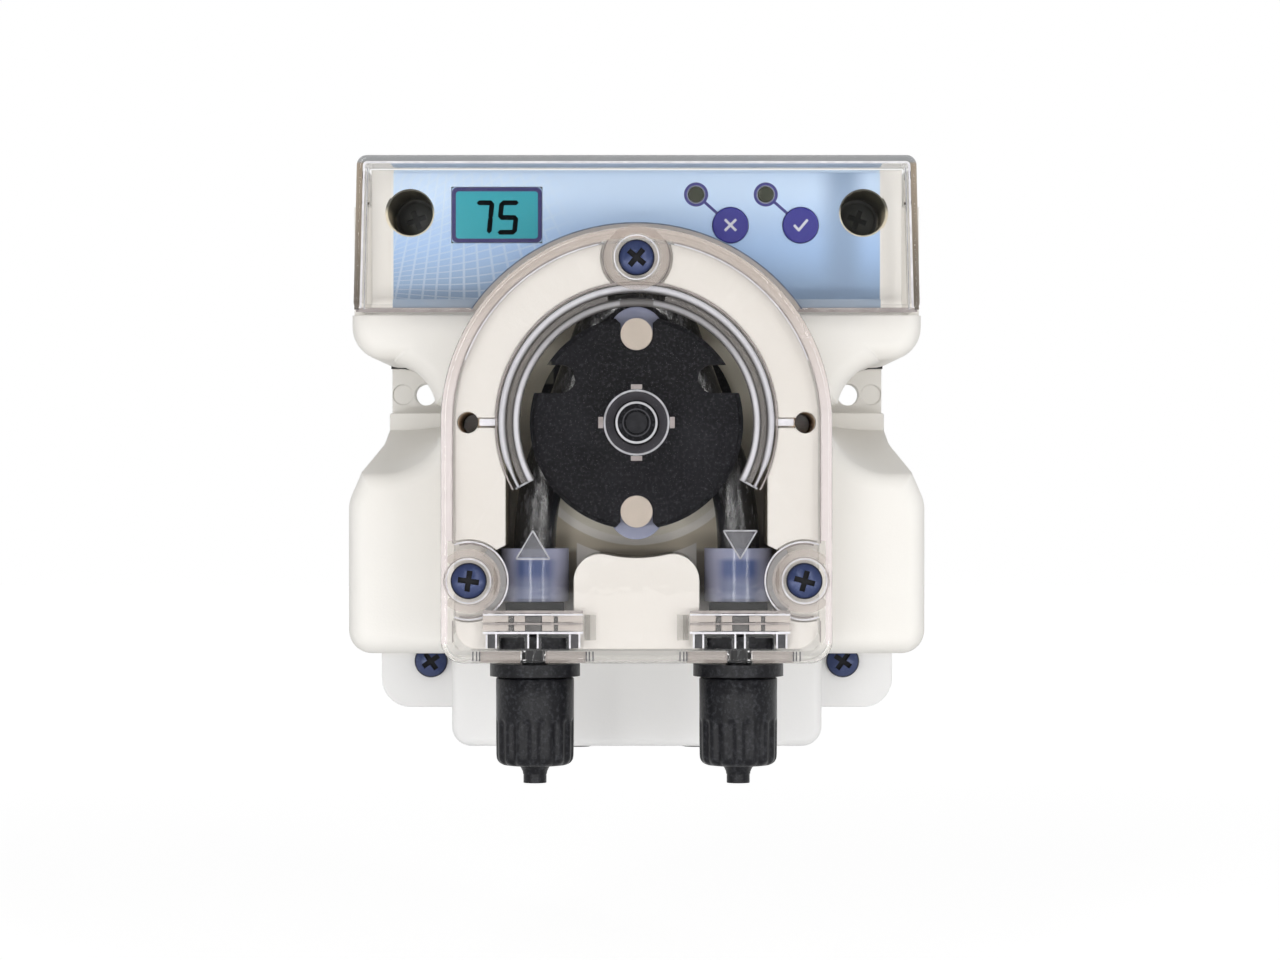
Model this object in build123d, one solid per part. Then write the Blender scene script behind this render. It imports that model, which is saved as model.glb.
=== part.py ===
"""Wall-mounted peristaltic dosing pump: gear motor, two-roller pump head and control panel.

Frame: X to the right, Y towards the wall, Z up, in millimetres. The origin lies on the wall face of the
back housing, in line with the pump rotor. A depth is a distance from the wall towards the front, so a
point at depth d has Y = -d.
"""

from build123d import *
from math import acos, cos, degrees, hypot, pi, radians, sin, sqrt, tan
import os

os.makedirs("parts", exist_ok=True)

# ---------------------------------------------------------------- clearances
slip = 0.05  # radial clearance of a shaft, pin or roller that turns
snug = 0.02  # clearance of parts that are pushed together and stay
gap = 0.3  # air gap between parts that only stand side by side
screw_slack = 0.1  # radial clearance of a screw in its hole
over = 1.0  # how far a cut or a joined shape runs past the face that it meets

# ---------------------------------------------------------------- depths, from the wall
back_depth = 9.0  # back housing, wall to parting face
seal_thick = 0.6  # rubber seal in the parting face
case_front = 62.0  # front face of the front housing
panel_face = 58.0  # face that the control label is glued to
lid_front = 68.0  # front face of the clear panel lid
lid_depth = 14.0  # how far the lid's walls reach back
head_deep = 24.0  # pump head body
head_floor = 3.0  # floor of the rotor chamber
cover_plate = 3.0  # front plate of the clear head cover

# ---------------------------------------------------------------- housings
wall = 2.5  # housing walls
shelf_wide = 0.8  # how far the upper block stands out beside the lid
upper_low = 12.6  # lower edge of the upper block
upper_round = 6.5  # its lower outer corners
lobe_low = -44.6  # lower edge of the lobes
lobe_round = 4.6
shoulder_z = -15.0  # where the lobes reach their full width
shoulder_round = 7.0
waist_in = 5.0  # how far the mounting ears lie inside the lower lobes
ledge_z = 3.1  # upper edge of the ledge under each ear
ramp_top = -0.5  # where the ramp under the ledge starts
ledge_depth = 14.0
scoop_in = 1.8  # from the waist to the centre of the rounded scoop beside each ear
scoop_up = 10.4  # its radius above the centre
scoop_down = 12.1  # its radius below the centre
scoop_z = 2.0
ear_thick = 6.0
edge_round = 3.4  # front edges of the front housing
flange_in = 3.3  # how far the lower screw flange lies inside the lobes
flange_low = -57.8
flange_round = 6.0
flange_thick = 4.4
box_half = 37.0  # wiring box under the pump head
box_low = -64.0
box_front = 42.0
box_round = 4.0
cable_hole_r = 5.0
cable_hole_x = 12.0
cable_hole_depth = 24.0
cable_lip = 1.2  # how far each cable grommet stands out
grommet_rim = 1.2
grommet_inner_rim = 0.8
membrane = 0.4

# ---------------------------------------------------------------- wall fixing
wall_hole_in = 7.0  # from the waist to each wall hole
wall_hole_z = 7.1
wall_hole_r = 2.25
pin_mark_in = 2.2  # from the waist to the shallow round mark beside each wall hole
pin_mark_r = 2.1
pin_mark_deep = 0.3

# ---------------------------------------------------------------- case screws
thread_r = 1.7  # 3.5 mm self-tapping screws
head_r = 3.4
head_high = 2.4
well_in = 9.8  # from the lid's upper corners to the deep screw wells in the control panel
well_z = 41.4
well_r = 4.4
well_wall = 1.8
well_seat = 36.0  # depth of the seat at the bottom of each well
seat_thick = 3.0
foot_screw_in = 10.3  # from the flange's sides to its screws
foot_screw_z = -48.2
post_r = 4.2  # screw posts of the back housing
bite = 7.0  # length of thread in its post
small_thread_r = 1.0  # circuit board screws
small_head_r = 1.9
small_head_high = 1.2

# ---------------------------------------------------------------- control panel
label_thick = 0.4
label_in = 6.0  # from the lid's upper corners to the label's sides
label_top = 49.2
lcd_x = -27.3
lcd_z = 41.0
lcd_wide = 17.6
lcd_high = 10.8
key_r = 3.5
key_proud = 0.6
key_travel = 0.5
key_x = (18.3, 32.0)  # ESC, OK
key_z = 39.0
key_stem_r = 1.5
key_rim = 0.8  # rim behind the panel that keeps each key in
key_rim_thick = 0.5
led_x = (11.6, 25.2)
led_z = 45.0
led_r = 1.5
board_front = 51.0
board_thick = 1.6
board_low = 25.0
board_in = 7.5  # from the lid's upper corners to the board's sides
switch_size = 6.0
switch_thick = 1.6
stand_off_r = 2.4
board_screw_x = (-39.5, -6.0, 39.0)
board_screw_z = 28.5
board_screw_long = 4.2

# ---------------------------------------------------------------- panel lid
lid_half_top = 54.0
lid_flare = 0.7  # how much wider the lid is at its lower edge
lid_low = 21.6
lid_top = 52.0
lid_wall = 1.6
lid_round = 2.0
lid_arch_gap = 0.8  # between the lid's arch and the head cover
lid_arm_low = 43.2
lid_pivot_depth = 44.5
lid_pivot_z = 46.4
lid_pivot_r = 1.5
lid_arm_r = 3.2
lid_pin_bite = 1.6

# ---------------------------------------------------------------- pump head
arch_r = 36.7  # outside of the clear head cover
cover_wall = 2.3
cover_low = -45.1
cover_round = 4.2
cover_edge = 0.9
head_screw_top_z = 31.0
head_screw_x = 31.5
head_screw_z = -29.7
head_boss_r = 6.5  # raised pads of the cover round its top screw
foot_boss_r = 7.5  # and round its two lower screws
pad_deep = 3.0
counterbore_r = 4.2
guard_in = 22.1  # clear C-shaped guard over the tube
guard_out = 26.3
guard_deep = 3.2
guard_end = 29.5  # degrees below horizontal where the guard ends
guard_relief = 1.53  # room in the head body below the guard's ends
stay_thick = 1.3
motor_screw_x = 31.6
motor_hole_r = 2.0
hub_out = 6.2
hub_proud = 1.0
lug_out = 7.25
lug_wide = 2.5
arrow_high = 5.4
arrow_wide = 6.4
arrow_proud = 0.5
arrow_z = -22.9
clamp_bar_half = 9.6  # raised bar over each pair of snap windows
clamp_bar_high = 3.3
window_low = 0.4  # lower edge of the windows above the cover's lower wall
window_high = 3.8
window_inset = 1.3
island_half = 11.8  # block between the two tube channels
island_round = 5.0
channel_out = 24.6
pocket_out = 26.6
pocket_top = -23.0

# ---------------------------------------------------------------- tube and hose connectors
tube_r = 4.0
tube_wall = 1.6
port_x = 19.4
sleeve_r = 6.5  # clamping sleeve on each tube end
sleeve_top = -23.7
sleeve_low = -33.8
tube_end = -33.2
spigot_top = -25.0
disc_r = 5.6
disc_thick = 1.6
body_r = 3.2
flange_top = -40.4
flange_size = 13.4
flange_t = 2.4
neck_r = 2.45
collar_r = 8.6
collar_top = -45.7
collar_t = 2.4
stud_r = 5.2
stud_low = -57.8
nozzle_r = 2.2
nozzle_low = -68.5
passage_r = 1.2
nut_r = 7.45
nut_low = -65.1
nut_hole_r = 3.3
nut_grip_top = -56.2
nut_ribs = 16
nut_rib_cut = 0.55
nut_floor = 2.4
nut_round = 1.2
ring_r = 4.6
ring_high = 2.6
window_wide = 5.2
slot_wide = 1.3

# ---------------------------------------------------------------- rotor
roller_circle = 16.7  # radius that the roller pins stand on
roller_r = 5.3
roller_long = 12.0
roller_room = 4.0  # from the chamber floor to the rollers, for the rotor's rear plate
roller_pin_r = 3.0
pinched = 3.3  # thickness of the tube where a roller squeezes it
plate_r = 19.3
plate_draft = 0.8
front_plate = 3.4
rear_plate = 3.0
rotor_hub_r = 7.0
nose_r = 3.95
shaft_r = 3.0
shaft_tip_r = 2.0
notch_x = 14.2
notch_z = 8.3
notch_r = 2.65
mouth_half = 6.0  # flared mouth of each pin seat, at the outer circle
mouth_out = 5.0
plate_step = 1.2
pin_bite = 2.0  # how deep the roller pins sit in the rear plate
hub_long = 1.0

# ---------------------------------------------------------------- gear train
module = 0.8
pressure = 25.0
backlash = 0.24
pinion_teeth = 14
wheel_teeth = 42
output_teeth = 49
wheel_wide = 4.0
pinion_wide = 4.6
layer_pitch = 5.0
gear_air = 0.5
idler_r = 1.5
gear_plate = 2.0
gear_plate_half = 34.4
gear_plate_air = 0.4  # between the gear plates and the scoops' walls
gear_plate_top = 7.5
gear_plate_low = -40.5
gear_plate_front = 58.5
angle_b = 230.0  # direction from the output shaft to idler B
angle_a = -8.0  # from idler B to idler A
angle_m = 8.0  # from idler A to the motor
pillar_r = 2.8
pillar_low_x = 30.0
pillar_low_z = -37.4
motor_screw_r = 1.25
motor_screw_head_r = 1.9
motor_screw_head = 2.0
pillar_screw_bite = 5.0
plate_screw_bite = 10.0
bush_flange = 1.0
bush_rim = 1.2
bush_wall = 1.6
motor_r = 12.5
motor_long = 24.0
motor_shaft_r = 1.0
motor_shell = 1.2
motor_boss_wall = 2.0
motor_boss_high = 1.2
motor_cap = 2.4
motor_cap_boss = 1.5
motor_tag_x = 7.0
motor_tag_wide = 2.4
motor_tag_thick = 0.6
motor_tag_long = 3.5
motor_screw_pitch = 8.0
motor_screw_bite = 4.0
motor_screw_flat = 0.9
magnet_air = 0.8
magnet_split = 2.0
commutator_r = 2.4
commutator_long = 1.8
armature_r = 5.5
armature_long = 13.0
seal_r = 7.0

# ---------------------------------------------------------------- power supply
supply_depth = 14.0
supply_left = -35.0
supply_right = 12.0
supply_low = -38.5
supply_top = -5.0
transformer_size = (24.0, 17.0, 21.0)
capacitor_r = 5.0
capacitor_long = 12.0
terminal_size = (20.0, 10.0, 8.0)
supply_inset = 4.0
supply_screw_long = 5.0
transformer_edge = 0.8
terminal_ways = 4
terminal_screw_z = 6.2  # height of the terminal screws in their block
terminal_screw_deep = 3.0
terminal_entry_deep = 2.0
terminal_skin = 1.5  # moulding behind and over each wire entry

# ---------------------------------------------------------------- derived places
lid_half_low = lid_half_top + lid_flare
upper_half = lid_half_low + shelf_wide
scoop_x = gear_plate_half + gear_plate_air + wall + scoop_down
waist_half = scoop_x + scoop_in
lobe_half = waist_half + waist_in
flange_half = lobe_half - flange_in
beyond = max(lobe_half, upper_half) + 5 * over  # outside of both housings
wall_hole_x = waist_half - wall_hole_in
pin_mark_x = waist_half - pin_mark_in
foot_screw_x = flange_half - foot_screw_in
well_x = lid_half_top - well_in
label_half = lid_half_top - label_in
board_half = lid_half_top - board_in
case_back = back_depth + seal_thick
flange_front = case_back + flange_thick
head_front = case_front + head_deep
cover_front = head_front + cover_plate
chamber_floor = case_front + head_floor
lid_back = lid_front - lid_depth
roller_back = chamber_floor + roller_room
roller_front = roller_back + roller_long
tube_depth = roller_back + roller_long / 2
race_r = roller_circle + roller_r + pinched + 2 * slip
head_r_out = arch_r - cover_wall - gap
head_low = cover_low + cover_wall + gap
lid_arch = arch_r + lid_arch_gap
block_half = lid_half_top - lid_wall - 2 * gap
block_low = lid_low + lid_wall + 2 * gap
upper_top = lid_top - lid_wall - 2 * gap  # top of the housings
gear_cell = gear_plate_front - gear_plate - gear_air
gear_back_plate = gear_cell - 3 * layer_pitch - gear_air


# ================================================================ helpers
def facing(depth):
    """Plane at a depth, seen from the front: local x is X and local y is Z."""
    return Plane(origin=(0, -depth, 0), x_dir=(1, 0, 0), z_dir=(0, -1, 0))


def slab(sketch, back, front):
    """A flat outline carried from one depth to another."""
    return extrude(facing(back) * sketch, amount=front - back)


def disc(radius, back, front, x=0.0, z=0.0):
    return slab(Pos(x, z) * Circle(radius), back, front)


def block(x0, x1, z0, z1, back, front, corner=0.0):
    """A box by its sides, with optional rounded corners seen from the front."""
    wide, high = x1 - x0, z1 - z0
    flat = RectangleRounded(wide, high, corner) if corner else Rectangle(wide, high)
    return slab(Pos((x0 + x1) / 2, (z0 + z1) / 2) * flat, back, front)


def rounded(points, radii):
    """A closed outline with its own radius at each corner."""
    return make_face(FilletPolyline(*points, radius=radii, close=True))


def joined(shapes):
    """One shape from a list of overlapping shapes."""
    first, *rest = shapes
    return first + rest if rest else first


def both(shape):
    """The shape and its mirror image on the other side of X = 0."""
    return shape + mirror(shape, about=Plane.YZ)


def turned(profile, x, depth):
    """A solid of revolution about a vertical axis. The profile holds (radius, z) points."""
    points = [(r, 0, z) for r, z in profile]
    face = make_face(Polyline(*points, close=True))
    return Pos(x, -depth, 0) * revolve(face, Axis.Z)


def ring_z(r_out, r_in, z0, z1, x, depth):
    """A vertical tube."""
    return turned([(r_in, z0), (r_out, z0), (r_out, z1), (r_in, z1)], x, depth)


def one(shape):
    """The shape as one clean solid, or as a compound if it has several."""
    solids = shape.solids()
    return solids[0] if len(solids) == 1 else Compound(children=list(solids))


def save(name, shape):
    export_step(shape if isinstance(shape, Compound) else one(shape), f"parts/{name}.step")


# ================================================================ screws
def pan_screw(x, z, seat, long, radius=thread_r, cap_r=head_r, cap=head_high, turn=0.0):
    """Cross-recess pan head screw driven from the front, with its head seated at a depth."""
    crown = cap * 0.45
    dome = (cap_r**2 + crown**2) / (2 * crown)
    top, side, tail = -(seat + cap), -(seat + cap - crown), -(seat - long)
    bend = (cap_r / 2, top + dome - sqrt(dome**2 - cap_r**2 / 4))
    edge = [(0, top), (0, tail), (radius, tail), (radius, -seat), (cap_r, -seat), (cap_r, side)]
    profile = make_face([Polyline(*edge), ThreePointArc((cap_r, side), bend, (0, top))])
    body = revolve(profile, Axis.Y)
    slot = cap_r * 0.30
    reach = cap_r * 0.58
    recess = cap * 0.55
    cross = block(-reach, reach, -slot / 2, slot / 2, seat + cap - recess, seat + cap + over)
    cross += block(-slot / 2, slot / 2, -reach, reach, seat + cap - recess, seat + cap + over)
    body -= cross
    return Pos(x, 0, z) * Rot(0, turn, 0) * body


# ================================================================ housing outlines
def upper_outline():
    points = [
        (-upper_half, upper_top),
        (-upper_half, upper_low),
        (upper_half, upper_low),
        (upper_half, upper_top),
    ]
    return rounded(points, [lid_round, upper_round, upper_round, lid_round])


def lobe_outline(top):
    """The lower lobes: full width below the shoulders, waist width at the top."""
    points = [
        (-waist_half, top),
        (-waist_half, ramp_top - 3.0),
        (-lobe_half, shoulder_z),
        (-lobe_half, lobe_low),
        (lobe_half, lobe_low),
        (lobe_half, shoulder_z),
        (waist_half, ramp_top - 3.0),
        (waist_half, top),
    ]
    side = [0.5, 3.0, shoulder_round, lobe_round]
    return rounded(points, side + side[::-1])


def flange_outline():
    high = lobe_low + 12 - flange_low
    flat = RectangleRounded(2 * flange_half, high, flange_round)
    return Pos(0, flange_low + high / 2) * flat


def box_outline():
    high = lobe_low + 12 - box_low
    return Pos(0, box_low + high / 2) * RectangleRounded(2 * box_half, high, box_round)


def column_outline():
    """The middle of the housings, between the two scoops."""
    half = scoop_x - 2
    return Pos(0, (upper_low + ledge_z) / 2) * Rectangle(2 * half, upper_low - ledge_z + 20)


def scoop_upper(grow=0.0):
    """Upper quarter of the right-hand scoop, seen from the front: a quarter circle that opens outwards."""
    radius = scoop_up + grow
    floor = ledge_z - grow
    far = beyond
    flat = Pos(scoop_x, scoop_z) * Circle(radius)
    flat += Pos((scoop_x + far) / 2, scoop_z) * Rectangle(far - scoop_x, 2 * radius)
    keep = Pos((scoop_x - radius - 1 + far) / 2, floor + 20) * Rectangle(
        far - scoop_x + radius + over, 40
    )
    return flat & keep


def ramp_face(drop, depth, grow):
    """Section of the ramp at a depth: a quarter ellipse below the scoop, open outwards and upwards."""
    reach = scoop_down + grow
    far = beyond
    left = scoop_x - reach
    low = scoop_z - drop - grow
    top = ledge_z + 1.0
    corner = EllipticalCenterArc((scoop_x, scoop_z), reach, drop + grow, start_angle=180, arc_size=90)
    lines = [
        Line((scoop_x, low), (far, low)),
        Line((far, low), (far, top)),
        Line((far, top), (left, top)),
        Line((left, top), (left, scoop_z)),
    ]
    return facing(depth) * make_face([corner, *lines])


def ramp(grow=0.0):
    """The ramp under the ledge of the right-hand ear, lower towards the front."""
    rear = ramp_face(scoop_z - ramp_top, ledge_depth - grow, grow)
    front = ramp_face(scoop_down, case_front + over, grow)
    return loft([rear, front], ruled=True)


def scoop(grow=0.0, back=0.0):
    """All that is scooped out of the front housing beside the right-hand ear."""
    return slab(scoop_upper(grow), back, case_front + over) + ramp(grow)


# ================================================================ housings
def rim_outlines():
    """The outlines that make up the parting face."""
    return [upper_outline(), lobe_outline(upper_low + over), flange_outline(), box_outline()]


def rear_housing():
    """Shallow tray that is screwed to the wall by its two ears, with the posts for the case screws."""
    body = joined([slab(flat, 0, back_depth) for flat in rim_outlines()])
    hollow = joined([slab(offset(flat, -wall), wall, back_depth + over) for flat in rim_outlines()])
    body -= hollow - both(slab(scoop_upper(wall), 0, back_depth + over))
    body -= both(slab(scoop_upper(), ear_thick, back_depth + over))
    posts = disc(post_r, wall - snug, well_seat - seat_thick, well_x, well_z)
    posts += disc(post_r, wall - snug, back_depth, foot_screw_x, foot_screw_z)
    body += both(posts)
    bores = disc(thread_r + snug, well_seat - seat_thick - bite - over, well_seat, well_x, well_z)
    bores += disc(thread_r + snug, wall + over, back_depth + over, foot_screw_x, foot_screw_z)
    bores += disc(wall_hole_r, -over, ear_thick + over, wall_hole_x, wall_hole_z)
    bores += disc(pin_mark_r, ear_thick - pin_mark_deep, ear_thick + over, pin_mark_x, wall_hole_z)
    body -= both(bores)
    for x, z in supply_corners():
        body += disc(stand_off_r, wall - snug, supply_depth - board_thick, x, z)
        body -= disc(small_thread_r + snug, wall + over, supply_depth, x, z)
    return body


def housing_gasket():
    """Flat rubber seal that follows the rim between the two housings."""
    body = joined([slab(flat, back_depth, case_back) for flat in rim_outlines()])
    inner = [offset(flat, -wall) for flat in rim_outlines()]
    inside = joined([slab(flat, back_depth - over, case_back + over) for flat in inner])
    body -= inside - both(slab(scoop_upper(wall), 0, case_back + over))
    body -= both(slab(scoop_upper(), 0, case_back + over))
    holes = disc(post_r + gap, 0, case_back + over, foot_screw_x, foot_screw_z)
    body -= both(holes)
    return body


def front_block():
    """Outside of the front housing as one solid, before it is hollowed."""
    body = slab(lobe_outline(ledge_z), case_back, case_front)
    body += slab(column_outline(), case_back, case_front)
    body += slab(upper_outline(), case_back, case_front)
    body -= both(scoop())
    rim = body.faces().sort_by(Axis.Y)[0].outer_wire().edges()
    body = fillet(rim, edge_round)
    shelf_top = lid_low - gap
    body -= block(-beyond, beyond, shelf_top, lid_top, lid_back - gap, case_front + over)
    body += block(-block_half, block_half, shelf_top - over, upper_top, lid_back - over, panel_face)
    body += disc(arch_r, panel_face - over, case_front)
    body += slab(flange_outline(), case_back, flange_front)
    box = slab(box_outline(), case_back, box_front)
    box = fillet(box.faces().sort_by(Axis.Y)[0].outer_wire().edges(), edge_round / 2)
    return body + box


def front_hollow():
    """Inside of the front housing."""
    front = case_front - wall
    body = slab(offset(lobe_outline(ledge_z), -wall), case_back - over, front)
    body += slab(offset(column_outline(), -wall), case_back - over, front)
    half, low, top = upper_half - wall, upper_low + wall, upper_top - wall
    body += block(-half, half, low, top, case_back - over, lid_back - gap - wall)
    body += block(-half, half, low, shelf_in(), case_back - over, front)
    panel = block_half - wall
    body += block(-panel, panel, low, top, case_back - over, panel_face - wall)
    body += disc(arch_r - wall, case_back - over, front) & block(
        -block_half, block_half, upper_low, lid_top, case_back - 2, case_front
    )
    body += slab(offset(box_outline(), -wall), case_back - over, box_front - wall)
    body -= both(scoop(wall))
    hinge = block(
        block_half - wall,
        upper_half,
        lid_arm_low - gap - wall,
        lid_top,
        lid_pivot_depth - lid_arm_r - gap - wall,
        lid_back,
    )
    return body - both(hinge)


def shelf_in():
    """Top of the hollow behind the shelf under the lid."""
    return lid_low - gap - wall


def lid_seat():
    """Recess beside the housing for one arm of the lid, with the socket of its pip."""
    inner = lid_inner_half() - gap
    low = lid_arm_low - gap
    back = lid_pivot_depth - lid_arm_r - gap
    recess = block(inner, beyond, low, lid_top + over, back, lid_back)
    socket = Pos(inner - lid_pin_bite, -lid_pivot_depth, lid_pivot_z) * Rot(0, 90, 0) * Cylinder(
        lid_pivot_r + slip, 2 * lid_pin_bite + 0.4
    )
    return recess + socket


def front_housing():
    """Deep front shell that carries the gear motor, the pump head and the control panel."""
    body = front_block() - front_hollow()
    wells = disc(well_r + well_wall, well_seat - seat_thick, panel_face - wall / 2, well_x, well_z)
    body += both(wells)
    for x, z in head_screw_places():
        body += disc(post_r, case_front - bite - 2, case_front - wall / 2, x, z)
        body -= disc(thread_r + snug, case_front - bite - over, case_front + over, x, z)
    for x, z in pillar_places():
        body += disc(pillar_r, gear_plate_front, case_front - wall / 2, x, z)
    for x in board_screw_x:
        face = case_front if hypot(x, board_screw_z) < arch_r - wall else panel_face
        body += disc(stand_off_r, board_front, face - wall / 2, x, board_screw_z)
        tip = board_front - board_thick + board_screw_long + gap
        body -= disc(small_thread_r + snug, board_front - over, tip, x, board_screw_z)
    cuts = disc(well_r, well_seat, case_front, well_x, well_z)
    cuts += disc(thread_r + screw_slack, well_seat - seat_thick - over, well_seat + over, well_x, well_z)
    cuts += disc(thread_r + screw_slack, case_back - over, flange_front + over,
                 foot_screw_x, foot_screw_z)
    cuts += lid_seat()
    cuts += disc(motor_screw_r + screw_slack, gear_plate_front - over, case_front + over, motor_screw_x)
    grommet = Pos(cable_hole_x, -cable_hole_depth, box_low) * Cylinder(cable_hole_r, 4 * wall)
    cuts += grommet
    body -= both(cuts)
    body -= disc(shaft_r + 1.0, gear_plate_front, case_front + over)
    half, tall = lcd_wide / 2 + screw_slack, lcd_high / 2 + screw_slack
    body -= block(lcd_x - half, lcd_x + half, lcd_z - tall, lcd_z + tall, board_front, case_front)
    for x in key_x:
        body -= disc(key_r + screw_slack, board_front, case_front, x, key_z)
    for x in led_x:
        body -= disc(led_r + screw_slack, board_front, case_front, x, led_z)
    return body


# ================================================================ control panel
def head_screw_places():
    return [(0.0, head_screw_top_z), (-head_screw_x, head_screw_z), (head_screw_x, head_screw_z)]


def pillar_places():
    places = [(motor_screw_x, 0.0), (pillar_low_x, pillar_low_z)]
    return [(sign * x, z) for x, z in places for sign in (-1, 1)]


def supply_corners():
    xs = (supply_left + supply_inset, supply_right - supply_inset)
    zs = (supply_low + supply_inset, supply_top - supply_inset)
    return [(x, z) for x in xs for z in zs]


def control_label():
    """Printed film glued to the panel face."""
    low = block_low + gap
    body = block(-label_half, label_half, low, label_top, panel_face, panel_face + label_thick, 1.0)
    body -= disc(arch_r + gap, panel_face - over, case_front)
    body -= both(disc(well_r + gap, panel_face - over, case_front, well_x, well_z))
    half, tall = lcd_wide / 2 + screw_slack, lcd_high / 2 + screw_slack
    body -= block(lcd_x - half, lcd_x + half, lcd_z - tall, lcd_z + tall, panel_face - over, case_front)
    for x in key_x:
        body -= disc(key_r + screw_slack, panel_face - over, case_front, x, key_z)
    for x in led_x:
        body -= disc(led_r + screw_slack, panel_face - over, case_front, x, led_z)
    return body


def lcd_display():
    half, tall = lcd_wide / 2, lcd_high / 2
    front = panel_face + label_thick
    return block(lcd_x - half, lcd_x + half, lcd_z - tall, lcd_z + tall, board_front, front, 0.6)


def status_leds():
    front = panel_face + label_thick
    return Compound(children=[disc(led_r, board_front, front, x, led_z) for x in led_x])


def panel_key(x):
    """Push key with a rim that holds it behind the panel and a stem over its switch."""
    inside = panel_face - wall
    cap = disc(key_r, inside - key_rim_thick, panel_face + label_thick + key_proud, x, key_z)
    front = cap.faces().sort_by(Axis.Y)[0]
    cap = fillet(front.edges(), key_proud / 2)
    rim = disc(key_r + key_rim, inside - key_rim_thick, inside, x, key_z)
    stem = disc(key_stem_r, board_front + switch_thick + key_travel + slip, inside, x, key_z)
    return cap + rim + stem


def key_switches():
    half = switch_size / 2
    front = board_front + switch_thick
    low, high = key_z - half, key_z + half
    places = [block(x - half, x + half, low, high, board_front, front, 0.5) for x in key_x]
    return Compound(children=places)


def control_board():
    """Printed circuit board behind the panel."""
    back = board_front - board_thick
    top = upper_top - wall - 2 * gap
    body = block(-board_half, board_half, board_low, top, back, board_front, 1.0)
    body -= both(disc(well_r + well_wall + gap, back - over, board_front + over, well_x, well_z))
    for x in board_screw_x:
        body -= disc(small_thread_r + screw_slack, back - over, board_front + over, x, board_screw_z)
    return body


def small_screw(x, z, seat, long, faces_front):
    """Small pan head screw for the circuit boards, driven from the back or from the front."""
    turn = 1 if faces_front else -1
    ends = sorted((seat, seat + turn * small_head_high))
    shank = sorted((seat, seat - turn * long))
    return disc(small_head_r, *ends, x, z) + disc(small_thread_r, *shank, x, z)


def board_screws():
    back = board_front - board_thick
    screws = [small_screw(x, board_screw_z, back, board_screw_long, False) for x in board_screw_x]
    return Compound(children=[one(screw) for screw in screws])


# ================================================================ panel lid
def lid_outline(inset=0.0, low=None):
    low = lid_low if low is None else low
    half_low, half_top = lid_half_low - inset, lid_half_top - inset
    top = lid_top - inset
    points = [(-half_top, top), (-half_low, low), (half_low, low), (half_top, top)]
    return rounded(points, max(lid_round - inset, 0.4))


def lid_inner_half():
    return lid_half_top - lid_wall


def panel_lid():
    """Clear hinged lid over the control panel, cut out in an arch round the pump head."""
    body = slab(lid_outline(), lid_back, lid_front)
    body = fillet(body.faces().sort_by(Axis.Y)[0].outer_wire().edges(), lid_wall / 2)
    body -= slab(lid_outline(lid_wall, lid_low + lid_wall), lid_back - over, lid_front - lid_wall)
    edge = panel_face + gap
    inner = lid_half_low - lid_wall
    body -= block(-inner, inner, lid_low - over, lid_low + lid_wall + 0.2, lid_back - over, edge)
    rim = disc(lid_arch + lid_wall, case_front - over, lid_front - lid_wall / 2)
    body += rim & block(-inner, inner, lid_low, lid_top - lid_wall, case_front - 2, lid_front)
    body -= disc(lid_arch, lid_back - over, lid_front + over)
    body += both(lid_arm())
    return body


def lid_arm():
    """One arm of the lid with the pip that snaps into the housing."""
    inner = lid_inner_half()
    far = lid_pivot_depth
    low, high = lid_pivot_z - lid_arm_r, lid_pivot_z + lid_arm_r
    arm = block(inner, lid_half_top, low, high, far, lid_back + lid_wall)
    middle = (inner + lid_half_top) / 2
    arm += Pos(middle, -far, lid_pivot_z) * Rot(0, 90, 0) * Cylinder(lid_arm_r, lid_wall)
    long = lid_pin_bite + gap
    arm += Pos(inner - long / 2 + slip, -far, lid_pivot_z) * Rot(0, 90, 0) * Cylinder(lid_pivot_r, long)
    return arm


# ================================================================ pump head
def head_outline(radius, low, corner):
    """Arch over straight sides, with rounded lower corners."""
    lower = Pos(0, low / 2) * Rectangle(2 * radius, -low)
    flat = Circle(radius) + lower
    corners = flat.vertices().group_by(Axis.Y)[0]
    return fillet(corners, corner)


def pump_head_body():
    """White head body: rotor chamber with its race, and the two channels of the tube."""
    body = slab(head_outline(head_r_out, head_low, cover_round), case_front, head_front)
    body -= disc(race_r, chamber_floor, head_front + over)
    side = [(island_half, 0), (channel_out, 0), (channel_out, pocket_top), (pocket_out, pocket_top - 1.0)]
    side += [(pocket_out, head_low - over), (island_half, head_low - over)]
    channel = slab(make_face(Polyline(*side, close=True)), chamber_floor, head_front + over)
    body -= both(channel)
    body = soften_island(body)
    guard_low = -guard_out * sin(radians(guard_end)) - guard_relief
    groove = disc(guard_out + gap, head_front - guard_deep - gap, head_front + over)
    body -= groove & block(-head_r_out, head_r_out, guard_low, head_r_out, case_front, head_front + 2)
    stay = stay_thick / 2 + gap
    back = head_front - guard_deep - gap
    relief = block(guard_out - over, motor_screw_x, -stay, stay, back, head_front + over)
    relief += disc(motor_hole_r, case_front - over, head_front + over, motor_screw_x)
    body -= both(relief)
    for x, z in head_screw_places():
        radius = head_boss_r if x == 0 else foot_boss_r
        body -= disc(radius + gap, head_front - pad_deep - gap, head_front + over, x, z)
        body -= disc(thread_r + screw_slack, case_front - over, head_front + over, x, z)
    body -= disc(seal_r, case_front - over, chamber_floor - over)
    body -= disc(shaft_r + 0.5, case_front - over, chamber_floor + over)
    return body


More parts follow.
